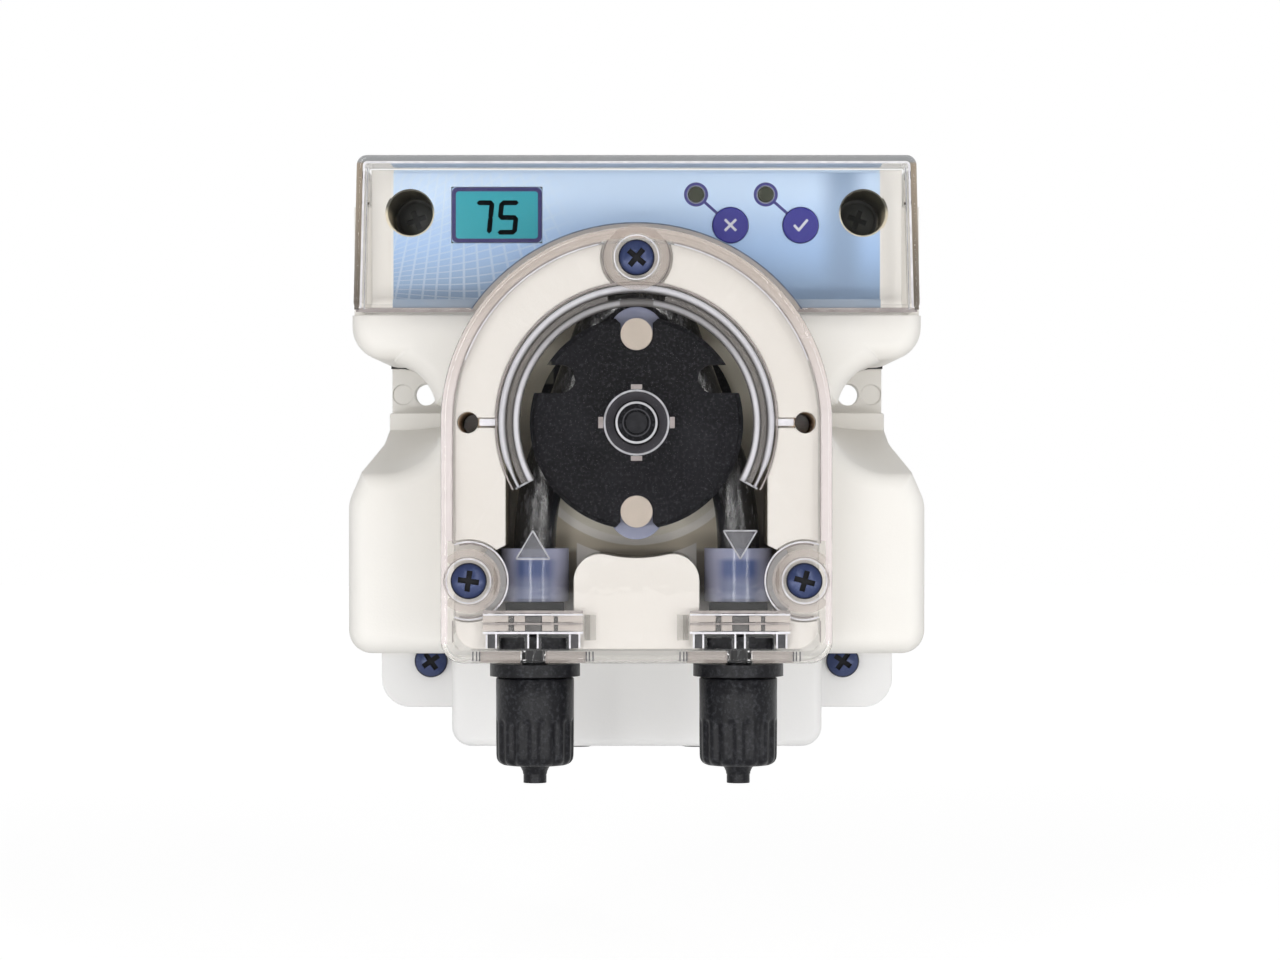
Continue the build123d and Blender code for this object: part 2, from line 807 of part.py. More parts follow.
def soften_island(body):
    """Rounds the two upper shoulders of the block between the tube channels."""
    shoulder_z = -sqrt(race_r**2 - island_half**2)
    edges = [
        e
        for e in body.edges().filter_by(Axis.Y)
        if abs(abs(e.center().X) - island_half) < 0.01 and abs(e.center().Z - shoulder_z) < 0.01
    ]
    return fillet(edges, island_round)


def head_cover():
    """Clear cover of the pump head, with the hub that guides the rotor's nose."""
    body = slab(head_outline(arch_r, cover_low, cover_round), case_front + gap, cover_front)
    body = fillet(body.faces().sort_by(Axis.Y)[0].outer_wire().edges(), cover_edge)
    inner = head_outline(arch_r - cover_wall, cover_low + cover_wall, cover_round - cover_wall)
    body -= slab(inner, case_front - over, head_front)
    body += guard()
    for x, z in head_screw_places():
        radius = head_boss_r if x == 0 else foot_boss_r
        pad = disc(radius, head_front - pad_deep, head_front, x, z)
        body += pad & slab(head_outline(arch_r, cover_low, cover_round), case_front, cover_front)
        body -= disc(counterbore_r, head_screw_seat(), cover_front + over, x, z)
        body -= disc(thread_r + screw_slack, case_front, cover_front, x, z)
    body += hub()
    body -= disc(nose_r + slip, head_front - over, cover_front + hub_proud + over)
    body -= both(disc(motor_hole_r, case_front, cover_front + over, motor_screw_x))
    body += clamp_bar(-port_x) + clamp_bar(port_x)
    body += flow_arrow(-port_x, 1) + flow_arrow(port_x, -1)
    body -= both(clamp_windows() + neck_slot())
    return body


def head_screw_seat():
    return cover_front - head_high - gap


def guard():
    """C-shaped rib over the tube, with its two radial stays."""
    back = head_front - guard_deep
    body = disc(guard_out, back, head_front) - disc(guard_in, back - over, head_front + over)
    low = -guard_out * sin(radians(guard_end))
    side = guard_out * cos(radians(guard_end))
    wedge = [(0, 0), (-3 * side, 3 * low), (3 * side, 3 * low)]
    body -= slab(make_face(Polyline(*wedge, close=True)), back - over, head_front + over)
    end = motor_screw_x - motor_hole_r + 0.2
    body += both(block(guard_out - 0.5, end, -stay_thick / 2, stay_thick / 2, back, head_front))
    return body


def hub():
    front = cover_front + hub_proud
    body = disc(hub_out, head_front, front)
    for angle in range(0, 360, 90):
        lug = block(0, lug_out, -lug_wide / 2, lug_wide / 2, cover_front - 0.5, front - 0.2)
        body += Rot(0, angle, 0) * lug
    return body


def flow_arrow(x, way):
    tip = arrow_z + way * arrow_high / 2
    base = arrow_z - way * arrow_high / 2
    points = [(x - arrow_wide / 2, base), (x + arrow_wide / 2, base), (x, tip)]
    return slab(make_face(Polyline(*points, close=True)), cover_front - 0.5, cover_front + arrow_proud)


def clamp_bar(x):
    """Raised bar over each pair of snap windows."""
    low, front = window_top(), cover_front + arrow_proud
    left, right = x - clamp_bar_half, x + clamp_bar_half
    return block(left, right, low, low + clamp_bar_high, cover_front - 0.5, front)


def window_top():
    return cover_low + cover_wall + window_high


def clamp_windows():
    """Snap windows in front of one connector: three slots with two wider openings between them."""
    low = cover_low + cover_wall + window_low
    top = window_top()
    step = window_wide / 2 + slot_wide
    cuts = []
    for shift in (-2, 0, 2):
        x = port_x + shift * step
        half = slot_wide / 2
        cuts.append(block(x - half, x + half, low, top, head_front - over, cover_front + over))
    for shift in (-1, 1):
        x = port_x + shift * step
        half = window_wide / 2 - gap
        cuts.append(block(x - half, x + half, low, top - window_inset,
                          head_front - over, cover_front + over))
    return joined(cuts)


def neck_slot():
    """Slot in the lower wall of the cover for the neck of one connector, open towards the back."""
    half = neck_r + 2 * slip
    low, high = cover_low - over, cover_low + cover_wall + 1
    slot = block(port_x - half, port_x + half, low, high, case_front - over, tube_depth)
    middle = cover_low + cover_wall / 2
    return slot + Pos(port_x, -tube_depth, middle) * Cylinder(half, cover_wall + 4)


# ================================================================ tube and hose connectors
def tube_path(sign_x=1):
    """Route of the tube: up from one connector, over the upper roller and down to the other."""
    bend_z = -14.0
    bend_r = 55.0
    over_r = 8.0
    centre_z = roller_circle + roller_r + slip + pinched / 2 - over_r
    rise = centre_z - bend_z
    reach = hypot(port_x, rise)
    lean = degrees(acos(rise / reach)) - degrees(acos(sqrt(1 - (over_r / reach) ** 2)))
    top = centre_z + over_r / sin(radians(lean))
    points = [(-port_x, tube_end), (-port_x, bend_z), (0, top), (port_x, bend_z), (port_x, tube_end)]
    return FilletPolyline(*[(x, -tube_depth, z) for x, z in points], radius=[bend_r, over_r, bend_r])


def tube_run(radius, path):
    start = Plane(origin=path @ 0, z_dir=path % 0)
    return sweep(start * Circle(radius), path=path)


def pump_tube():
    """Rubber tube in one piece, squeezed shut between the upper roller and the race."""
    path = tube_path()
    body = tube_run(tube_r, path)
    bore = tube_run(tube_r - tube_wall, path)
    shut = roller_circle
    bore -= block(-2 * port_x, 2 * port_x, shut, race_r + 20, case_front, cover_front)
    body -= bore
    body -= Pos(0, -tube_depth, roller_circle) * Rot(90, 0, 0) * Cylinder(roller_r + slip, 3 * tube_r)
    squeeze = disc(2 * race_r, case_front, cover_front)
    squeeze -= disc(race_r - slip, case_front - over, cover_front + over)
    body -= squeeze & block(-2 * race_r, 2 * race_r, 0, 2 * race_r, case_front, cover_front)
    spigots = spigot_hole(-port_x) + spigot_hole(port_x)
    return body - spigots


def spigot_hole(x):
    middle, long = (tube_end + spigot_top) / 2, spigot_top - tube_end + 2 * snug
    return Pos(x, -tube_depth, middle) * Cylinder(spigot_r(), long)


def spigot_r():
    return tube_r - tube_wall


def sleeve(x):
    """Translucent sleeve that clamps the tube end to its connector."""
    return ring_z(sleeve_r, tube_r + snug, sleeve_low, sleeve_top, x, tube_depth)


def connector(x):
    """Hose connector: spigot for the tube, flange held by the cover, collar, threaded stud and nozzle."""
    r = spigot_r()
    outline = [
        (passage_r, spigot_top),
        (r - snug, spigot_top),
        (r - snug, tube_end - gap),
        (body_r, tube_end - gap),
        (body_r, sleeve_low - gap),
        (disc_r, sleeve_low - gap),
        (disc_r, sleeve_low - gap - disc_thick),
        (body_r, sleeve_low - gap - disc_thick),
        (body_r, flange_top + 0.5),
        (neck_r, flange_top + 0.5),
        (neck_r, collar_top - 0.5),
        (collar_r, collar_top),
        (collar_r, collar_top - collar_t),
        (stud_r, collar_top - collar_t),
        (stud_r, stud_low),
        (nozzle_r, stud_low),
        (nozzle_r, nozzle_low),
        (passage_r, nozzle_low),
    ]
    body = turned(outline, x, tube_depth)
    half = flange_size / 2
    plate = Pos(x, -tube_depth, flange_top - flange_t / 2) * Box(flange_size, flange_size, flange_t)
    plate = fillet(plate.edges().filter_by(Axis.Z), half / 4)
    return body + (plate - Pos(x, -tube_depth, flange_top) * Cylinder(passage_r, 20))


def nut_top():
    return collar_top - collar_t - gap


def clamp_nut(x):
    """Union nut that squeezes the hose onto the nozzle, with grip ribs round its lower half."""
    shoulder = stud_low - gap
    low_inside = nut_low + nut_floor
    outline = [
        (stud_r + slip, nut_top()),
        (nut_r, nut_top()),
        (nut_r, nut_low),
        (nut_hole_r, nut_low),
        (nut_hole_r, low_inside),
        (ring_r + slip, low_inside),
        (ring_r + slip, shoulder),
        (stud_r + slip, shoulder),
    ]
    body = turned(outline, x, tube_depth)
    lower = body.edges().filter_by(GeomType.CIRCLE).group_by(Axis.Z)[0].sort_by(SortBy.RADIUS)[-1]
    body = fillet(lower, nut_round)
    wide = 2 * pi * nut_r / nut_ribs / 2
    high = nut_grip_top - nut_low + 2
    valley = Pos(nut_r, 0, nut_grip_top - high / 2) * Box(2 * nut_rib_cut, wide, high)
    for count in range(nut_ribs):
        body -= Pos(x, -tube_depth, 0) * Rot(0, 0, 360 * count / nut_ribs) * valley
    return body


def clamp_ring(x):
    """Loose ring in the nut, pushed over the hose end."""
    low = nut_low + nut_floor + snug
    return ring_z(ring_r, nut_hole_r + slip, low, low + ring_high, x, tube_depth)


# ================================================================ rotor
def rotor_plate():
    """Front plate of the rotor with its nose, the seats of the roller pins and two side notches."""
    back = roller_front + gap
    front = back + front_plate
    body = disc(plate_r + plate_draft, back, front - plate_step) + disc(plate_r, back, front)
    body += disc(nose_r, front - over, cover_front + hub_proud / 2)
    seat_r = roller_pin_r + slip
    for sign in (1, -1):
        low, high = sorted((sign * roller_circle, sign * (plate_r + 5)))
        body -= disc(seat_r, back - over, front + over, 0, sign * roller_circle)
        body -= block(-seat_r, seat_r, low, high, back - over, front + over)
        far = sign * (roller_circle + mouth_out)
        mouth = [(0, sign * (roller_circle - over)), (mouth_half, far), (-mouth_half, far)]
        body -= slab(make_face(Polyline(*mouth, close=True)), back - over, front + over)
    notch = disc(notch_r, back - over, front + over, notch_x, notch_z)
    notch += block(notch_x, plate_r + 5, notch_z - notch_r, notch_z + notch_r, back - over, front + over)
    body -= both(notch)
    body -= disc(shaft_tip_r + snug, back - over, cover_front + 5)
    body -= disc(shaft_r + snug, back - over, front)
    return body


def rotor_body():
    """Rear plate and hub of the rotor, pressed on the shaft."""
    front = roller_back - gap
    body = disc(plate_r, front - rear_plate, front) + disc(rotor_hub_r, front - over, roller_front + gap)
    body -= disc(shaft_r + snug, front - 10, cover_front)
    for sign in (1, -1):
        body -= disc(roller_pin_r + snug, front - pin_bite, front + over, 0, sign * roller_circle)
        body -= disc(roller_pin_r + 2 * slip, front + 0.01, cover_front, 0, sign * roller_circle)
    return body


def roller(sign):
    return disc(roller_r, roller_back, roller_front, 0, sign * roller_circle) - disc(
        roller_pin_r + slip, roller_back - over, roller_front + over, 0, sign * roller_circle
    )


def roller_pins():
    back = roller_back - gap - pin_bite
    front = roller_front + gap + front_plate
    return Compound(children=[disc(roller_pin_r, back, front, 0, s * roller_circle) for s in (1, -1)])


def drive_shaft():
    """Output shaft, thinner at the tip that sits in the rotor's nose."""
    step = roller_front + gap + front_plate
    back = gear_back_plate - gear_plate - bush_flange
    return disc(shaft_r, back, step) + disc(shaft_tip_r, step - over, cover_front + hub_proud / 2 + 0.2)


# ================================================================ gear train
def gear_outline(teeth, phase):
    """Involute gear outline with a tooth centred on the direction phase, in degrees."""
    pitch_r = module * teeth / 2
    base_r = pitch_r * cos(radians(pressure))
    tip_r = pitch_r + module
    root_r = pitch_r - 1.25 * module
    half_pitch = (pi * module / 2 - backlash / 2) / 2 / pitch_r
    start = max(root_r, base_r)

    def half_angle(radius):
        turn = acos(min(1, base_r / radius))
        return half_pitch + (tan(radians(pressure)) - radians(pressure)) - (tan(turn) - turn)

    steps = [start + (tip_r - start) * share for share in (0, 0.25, 0.6, 1)]
    flank = [(root_r, half_angle(start))] if root_r < start else []
    flank += [(radius, half_angle(radius)) for radius in steps]
    points = []
    for tooth in range(teeth):
        middle = radians(phase) + 2 * pi * tooth / teeth
        points += [(r * cos(middle - a), r * sin(middle - a)) for r, a in flank]
        points += [(r * cos(middle + a), r * sin(middle + a)) for r, a in reversed(flank)]
    return make_face(Polyline(*points, close=True))


def away(place, angle, distance):
    x, z = place
    return x + distance * cos(radians(angle)), z + distance * sin(radians(angle))


def gear_places():
    """Centres of idler B, idler A and the motor."""
    b = away((0.0, 0.0), angle_b, module * (output_teeth + pinion_teeth) / 2)
    a = away(b, angle_a, module * (wheel_teeth + pinion_teeth) / 2)
    m = away(a, angle_m, module * (wheel_teeth + pinion_teeth) / 2)
    return b, a, m


def layer(number):
    """Front face of a gear layer. Layer 1 is next to the front plate."""
    return gear_cell - (number - 1) * layer_pitch


def output_gear():
    front = layer(1)
    body = slab(gear_outline(output_teeth, angle_b), front - wheel_wide, front)
    body += disc(rotor_hub_r, front - wheel_wide - hub_long, front)
    return body - disc(shaft_r + snug, front - 10, front + over)


def idler_gear(place, number, wheel_phase, pinion_phase):
    """Compound idler: a wheel in one layer and its pinion in the layer in front."""
    front = layer(number)
    x, z = place
    wheel = Pos(x, z) * gear_outline(wheel_teeth, wheel_phase)
    pinion = Pos(x, z) * gear_outline(pinion_teeth, pinion_phase)
    body = slab(wheel, front - wheel_wide, front)
    body += slab(pinion, front - 0.5, front + pinion_wide)
    return body - disc(idler_r + slip, front - 10, front + 10, x, z)


def idler_pins():
    """Fixed pins of the two idlers, with the spacer rings that hold each gear in its layer."""
    b, a, _ = gear_places()
    pins = []
    for place, number in ((b, 2), (a, 3)):
        low = layer(number) - wheel_wide
        high = layer(number) + pinion_wide
        pin = disc(idler_r, gear_back_plate - gear_plate, gear_plate_front, *place)
        if low - slip > gear_back_plate + 0.1:
            pin += disc(idler_r + 1.0, gear_back_plate, low - slip, *place)
        if gear_plate_front - gear_plate > high + slip + 0.1:
            pin += disc(idler_r + 1.0, high + slip, gear_plate_front - gear_plate, *place)
        pins.append(one(pin))
    return Compound(children=pins)


def gear_plates(back, front, is_front):
    body = block(-gear_plate_half, gear_plate_half, gear_plate_low, gear_plate_top, back, front, 3.0)
    b, a, m = gear_places()
    for place in (b, a):
        body -= disc(idler_r + snug, back - over, front + over, *place)
    body -= disc(shaft_r + slip + bush_wall, back - over, front + over)
    for x, z in pillar_places():
        body -= disc(motor_screw_r + screw_slack, back - over, front + over, x, z)
    if is_front:
        for x, z in head_screw_places():
            body -= disc(post_r + gap, back - over, front + over, x, z)
    else:
        body -= disc(motor_boss_r() + gap, back - over, front + over, *m)
        for place in motor_screw_places():
            body -= disc(motor_screw_r + screw_slack, back - over, front + over, *place)
    return body


def motor_boss_r():
    return motor_shaft_r + motor_boss_wall


def gear_plate_front_piece():
    return gear_plates(gear_plate_front - gear_plate, gear_plate_front, True)


def gear_plate_back_piece():
    return gear_plates(gear_back_plate - gear_plate, gear_back_plate, False)


def gear_pillars():
    """Four hollow pillars between the gear plates."""
    back, front = gear_back_plate, gear_plate_front - gear_plate
    bore = motor_screw_r + snug
    pillars = []
    for x, z in pillar_places():
        pillars.append(disc(pillar_r, back, front, x, z) - disc(bore, back - over, front + over, x, z))
    return Compound(children=pillars)


def output_bushes():
    outer, inner = shaft_r + slip + bush_wall - snug, shaft_r + slip
    front = disc(outer, gear_plate_front - gear_plate, gear_plate_front)
    front += disc(outer + bush_rim, gear_plate_front, gear_plate_front + bush_flange)
    back = disc(outer, gear_back_plate - gear_plate, gear_back_plate)
    back += disc(outer + bush_rim, gear_back_plate, gear_back_plate + bush_flange)
    bore = disc(inner, gear_back_plate - 10, case_front + over)
    return Compound(children=[one(front - bore), one(back - bore)])


def shaft_seal():
    """Rubber ring round the shaft behind the rotor chamber."""
    ring = disc(seal_r - snug, case_front, chamber_floor - over)
    return ring - disc(shaft_r + slip, case_front - over, chamber_floor)


def gearbox_screws():
    """Two screws from the front through housing and plate, and four from behind."""
    seat = case_front
    screws = []
    for x in (-motor_screw_x, motor_screw_x):
        body = disc(motor_screw_head_r, seat, seat + motor_screw_head, x)
        screws.append(body + disc(motor_screw_r, seat - plate_screw_bite, seat, x))
    back = gear_back_plate - gear_plate
    for x, z in pillar_places():
        body = disc(motor_screw_head_r, back - motor_screw_head, back, x, z)
        screws.append(body + disc(motor_screw_r, back, back + pillar_screw_bite, x, z))
    return Compound(children=[one(screw) for screw in screws])


# ================================================================ motor
def motor_screw_places():
    _, _, (x, z) = gear_places()
    return [(x, z - motor_screw_pitch), (x, z + motor_screw_pitch)]


def motor_front():
    return gear_back_plate - gear_plate


def motor_can():
    """Drawn steel can, closed at the front, with its bearing boss."""
    _, _, place = gear_places()
    front = motor_front()
    body = disc(motor_r, front - motor_long, front, *place)
    body += disc(motor_boss_r(), front - over, front + motor_boss_high, *place)
    body -= disc(motor_r - motor_shell, front - motor_long - over, front - motor_shell, *place)
    body -= disc(motor_shaft_r + slip, front - 5, front + 5, *place)
    for screw in motor_screw_places():
        body -= disc(motor_screw_r + snug, front - 4, front + over, *screw)
    return body


def motor_end_cap():
    """Plastic end cap with the rear bearing and two terminal tags."""
    _, _, (x, z) = gear_places()
    back = motor_front() - motor_long
    body = disc(motor_r - motor_shell - snug, back, back + motor_cap, x, z)
    body += disc(motor_boss_r(), back - motor_cap_boss, back + over, x, z)
    body -= disc(motor_shaft_r + slip, back - motor_cap_boss + over, back + motor_cap + over, x, z)
    wide, thick = motor_tag_wide / 2, motor_tag_thick / 2
    for middle in (x - motor_tag_x, x + motor_tag_x):
        body += block(middle - wide, middle + wide, z - thick, z + thick,
                      back - motor_tag_long, back + over)
    return body


def motor_magnets():
    _, _, (x, z) = gear_places()
    outer = motor_r - motor_shell - snug
    inner = armature_r + magnet_air
    middle = motor_front() - motor_long / 2 - 1
    half = armature_long / 2 + 1
    ring = disc(outer, middle - half, middle + half, x, z) - disc(inner, 0, case_front, x, z)
    sides = []
    for sign in (-1, 1):
        low, high = sorted((x + sign * magnet_split, x + sign * motor_r))
        side = block(low, high, z - motor_r, z + motor_r, middle - half, middle + half)
        sides.append(one(ring & side))
    return Compound(children=sides)


def motor_armature():
    """Wound armature with its commutator."""
    _, _, place = gear_places()
    middle = motor_front() - motor_long / 2 - 1
    half = armature_long / 2
    body = disc(armature_r, middle - half, middle + half, *place)
    body += disc(commutator_r, middle - half - commutator_long, middle - half + over, *place)
    return body - disc(motor_shaft_r + snug, 0, case_front, *place)


def motor_shaft():
    _, _, place = gear_places()
    return disc(motor_shaft_r, motor_front() - motor_long - 0.4, layer(3) + 0.5, *place)


def motor_pinion():
    _, _, (x, z) = gear_places()
    front = layer(3)
    outline = Pos(x, z) * gear_outline(pinion_teeth, angle_m + 180 + 180 / pinion_teeth)
    body = slab(outline, front - wheel_wide + 0.6, front)
    return body - disc(motor_shaft_r + snug, front - 10, front + over, x, z)


def motor_screws():
    """Two screws through the back gear plate into the motor."""
    seat = gear_back_plate
    screws = []
    for place in motor_screw_places():
        head = disc(motor_screw_head_r, seat, seat + motor_screw_flat, *place)
        screws.append(one(head + disc(motor_screw_r, seat - motor_screw_bite, seat, *place)))
    return Compound(children=screws)


# ================================================================ power supply
def power_board():
    back = supply_depth - board_thick
    body = block(supply_left, supply_right, supply_low, supply_top, back, supply_depth, 1.0)
    for x, z in supply_corners():
        body -= disc(small_thread_r + screw_slack, back - over, supply_depth + over, x, z)
    return body


def power_board_screws():
    screws = [small_screw(x, z, supply_depth, supply_screw_long, True) for x, z in supply_corners()]
    return Compound(children=[one(screw) for screw in screws])


def transformer():
    """Encapsulated mains transformer."""
    wide, high, deep = transformer_size
    left = supply_left + supply_inset + 3.0
    low = supply_top - high
    body = block(left, left + wide, low, low + high, supply_depth, supply_depth + deep, 1.0)
    front = body.faces().sort_by(Axis.Y)[0]
    return chamfer(front.edges(), transformer_edge)


def capacitor():
    x = supply_right - capacitor_r - 1.5
    z = (supply_low + supply_top) / 2
    body = disc(capacitor_r, supply_depth, supply_depth + capacitor_long, x, z)
    return fillet(body.faces().sort_by(Axis.Y)[0].edges(), 0.6)


def terminal_block():
    """Screw terminals for the mains lead."""
    wide, high, deep = terminal_size
    middle = (supply_left + supply_right) / 2
    left, right, front = middle - wide / 2, middle + wide / 2, supply_depth + deep
    body = block(left, right, supply_low, supply_low + high, supply_depth, front)
    step = wide / terminal_ways
    entry = step * 0.3
    low, back = supply_low + terminal_entry_deep, supply_depth + terminal_skin
    for way in range(terminal_ways):
        x = left + (way + 0.5) * step
        screw_z = supply_low + terminal_screw_z
        body -= disc(step * 0.32, front - terminal_screw_deep, front + over, x, screw_z)
        body -= block(x - entry, x + entry, supply_low - over, low, back, front - terminal_skin - 0.5)
    return body


def cable_grommet(x):
    """Rubber membrane grommet in the bottom of the wiring box."""
    outer = cable_hole_r
    outline = [
        (0, box_low - cable_lip),
        (outer * 0.5, box_low - cable_lip),
        (outer + grommet_rim, box_low - membrane),
        (outer + grommet_rim, box_low),
        (outer - snug, box_low),
        (outer - snug, box_low + wall),
        (outer + grommet_inner_rim, box_low + wall),
        (outer + grommet_inner_rim, box_low + wall + grommet_inner_rim),
        (outer - grommet_rim, box_low + wall + grommet_inner_rim),
        (outer - grommet_rim, box_low + membrane),
        (0, box_low + membrane),
    ]
    return turned(outline, x, cable_hole_depth)


def case_screws():
    long = seat_thick + bite
    screws = [pan_screw(side * well_x, well_z, well_seat, long, turn=20 * side) for side in (-1, 1)]
    return Compound(children=[one(screw) for screw in screws])


def foot_screws():
    long = flange_front - wall - 1.5
    x, z = foot_screw_x, foot_screw_z
    screws = [pan_screw(side * x, z, flange_front, long, turn=35 * side) for side in (-1, 1)]
    return Compound(children=[one(screw) for screw in screws])


def head_screws():
    seat = head_screw_seat()
    long = seat - case_front + bite
    turns = (40, 8, 15)
    places = zip(head_screw_places(), turns)
    return Compound(children=[one(pan_screw(x, z, seat, long, turn=turn)) for (x, z), turn in places])


# ================================================================ export
idler_b, idler_a, motor_place = gear_places()
half_tooth = 180 / pinion_teeth

pieces = {
    "rear_housing": rear_housing,
    "housing_gasket": housing_gasket,
    "front_housing": front_housing,
    "case_screws": case_screws,
    "foot_screws": foot_screws,
    "cable_grommets": lambda: Compound(children=[one(cable_grommet(s * cable_hole_x)) for s in (-1, 1)]),
    "control_label": control_label,
    "lcd_display": lcd_display,
    "status_leds": status_leds,
    "esc_key": lambda: panel_key(key_x[0]),
    "ok_key": lambda: panel_key(key_x[1]),
    "key_switches": key_switches,
    "control_board": control_board,
    "board_screws": board_screws,
    "panel_lid": panel_lid,
    "pump_head_body": pump_head_body,
    "head_cover": head_cover,
    "head_screws": head_screws,
    "pump_tube": pump_tube,
    "suction_sleeve": lambda: sleeve(-port_x),
    "discharge_sleeve": lambda: sleeve(port_x),
    "suction_connector": lambda: connector(-port_x),
    "discharge_connector": lambda: connector(port_x),
    "suction_ring": lambda: clamp_ring(-port_x),
    "discharge_ring": lambda: clamp_ring(port_x),
    "suction_nut": lambda: clamp_nut(-port_x),
    "discharge_nut": lambda: clamp_nut(port_x),
    "rotor_body": rotor_body,
    "rotor_plate": rotor_plate,
    "roller_upper": lambda: roller(1),
    "roller_lower": lambda: roller(-1),
    "roller_pins": roller_pins,
    "drive_shaft": drive_shaft,
    "shaft_seal": shaft_seal,
    "output_gear": output_gear,
    "idler_gear_b": lambda: idler_gear(idler_b, 2, angle_a, angle_b + 180 + half_tooth),
    "idler_gear_a": lambda: idler_gear(idler_a, 3, angle_m, angle_a + 180 + half_tooth),
    "idler_pins": idler_pins,
    "motor_pinion": motor_pinion,
    "gear_plate_front": gear_plate_front_piece,
    "gear_plate_back": gear_plate_back_piece,
    "gear_pillars": gear_pillars,
    "output_bushes": output_bushes,
    "gearbox_screws": gearbox_screws,
    "motor_can": motor_can,
    "motor_end_cap": motor_end_cap,
    "motor_magnets": motor_magnets,
    "motor_armature": motor_armature,
    "motor_shaft": motor_shaft,
    "motor_screws": motor_screws,
    "power_board": power_board,
    "power_board_screws": power_board_screws,
    "transformer": transformer,
    "capacitor": capacitor,
    "terminal_block": terminal_block,
}

for name, make in pieces.items():
    save(name, make())
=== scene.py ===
from math import cos, pi, radians, sin

import bpy
import numpy as np
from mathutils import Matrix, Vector


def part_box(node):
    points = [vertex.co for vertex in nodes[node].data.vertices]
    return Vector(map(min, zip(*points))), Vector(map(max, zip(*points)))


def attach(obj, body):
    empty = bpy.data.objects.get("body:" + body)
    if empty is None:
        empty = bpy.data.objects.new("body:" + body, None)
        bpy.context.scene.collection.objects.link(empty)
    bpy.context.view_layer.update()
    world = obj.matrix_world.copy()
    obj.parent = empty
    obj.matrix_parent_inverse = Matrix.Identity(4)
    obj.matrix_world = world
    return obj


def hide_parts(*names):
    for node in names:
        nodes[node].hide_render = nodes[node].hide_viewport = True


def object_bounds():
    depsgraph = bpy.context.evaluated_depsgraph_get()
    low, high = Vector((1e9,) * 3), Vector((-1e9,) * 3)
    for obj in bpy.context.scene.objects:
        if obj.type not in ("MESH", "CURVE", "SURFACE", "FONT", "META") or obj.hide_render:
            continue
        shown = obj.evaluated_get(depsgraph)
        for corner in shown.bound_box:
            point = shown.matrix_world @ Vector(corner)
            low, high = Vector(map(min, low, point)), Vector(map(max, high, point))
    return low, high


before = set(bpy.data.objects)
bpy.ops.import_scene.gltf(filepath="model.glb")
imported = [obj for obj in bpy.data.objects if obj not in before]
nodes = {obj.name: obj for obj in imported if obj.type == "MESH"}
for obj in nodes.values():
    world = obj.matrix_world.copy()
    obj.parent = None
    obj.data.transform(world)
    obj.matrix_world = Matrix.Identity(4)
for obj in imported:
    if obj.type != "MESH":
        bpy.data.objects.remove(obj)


# -------------------- studio
# The pump hangs in front of a white backdrop over a pale floor. Two tall soft lamps stand in front of it,
# one on each side, a low card fills in from below, and the white room does the rest. Sizes in metres.
cad_low, cad_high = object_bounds()  # before anything is added

camera_place = (0.00065, -0.786, -0.01075)
camera_lens = 104.73  # millimetres, on a 36 mm sensor
lamp_aim = Vector((0.0, -0.06, 0.0))  # inside the pump head
room_light = 0.5
dim_side = 0.04  # the near side of the room, as gloss and clear plastic see it
floor_drop = 0.05  # below the hose nozzles
floor_half = 3.0
floor_near = 1.93  # the floor's glow below the pump, and further out
floor_glow = 2.15
floor_share = 0.35


class Flow:
    """A value on its way between shader nodes. Sums on it add Math nodes to its tree."""

    def __init__(self, socket):
        self.socket = socket
        self.tree = socket.id_data

    def math(self, operation, *others):
        terms = dict(enumerate([self, *others]))
        return add(self.tree, "ShaderNodeMath", {"operation": operation}, terms)

    def __add__(self, other):
        return self.math("ADD", other)

    def __sub__(self, other):
        return self.math("SUBTRACT", other)

    def __mul__(self, other):
        return self.math("MULTIPLY", other)

    def __rsub__(self, other):
        return (self * -1.0) + other

    def __abs__(self):
        return self.math("ABSOLUTE")

    def __pow__(self, power):
        return self.math("POWER", power)

    __radd__ = __add__
    __rmul__ = __mul__

    def step(self, low, high):
        """0 below low, 1 above high and a smooth ramp between them. With low above high it falls."""
        if low > high:
            return 1 - self.step(high, low)
        ramp = {"data_type": "FLOAT", "interpolation_type": "SMOOTHSTEP"}
        ends = {"Value": self, "From Min": low, "From Max": high}
        return add(self.tree, "ShaderNodeMapRange", ramp, ends)


def add(tree, kind, settings=None, sockets=None, out=0):
    """Adds one node: its settings first, then the values or links of its sockets."""
    made = tree.nodes.new(kind)
    for name, value in (settings or {}).items():
        setattr(made, name, value)
    for name, value in (sockets or {}).items():
        if isinstance(value, Flow):
            tree.links.new(value.socket, made.inputs[name])
        else:
            made.inputs[name].default_value = value
    return Flow(made.outputs[out])


def looks(tree, *names):
    """1 for the kinds of ray that are named."""
    kinds = [add(tree, "ShaderNodeLightPath", out=f"Is {name} Ray") for name in names]
    for kind in kinds[1:]:
        kinds[0] = kinds[0].math("MAXIMUM", kind)
    return kinds[0]


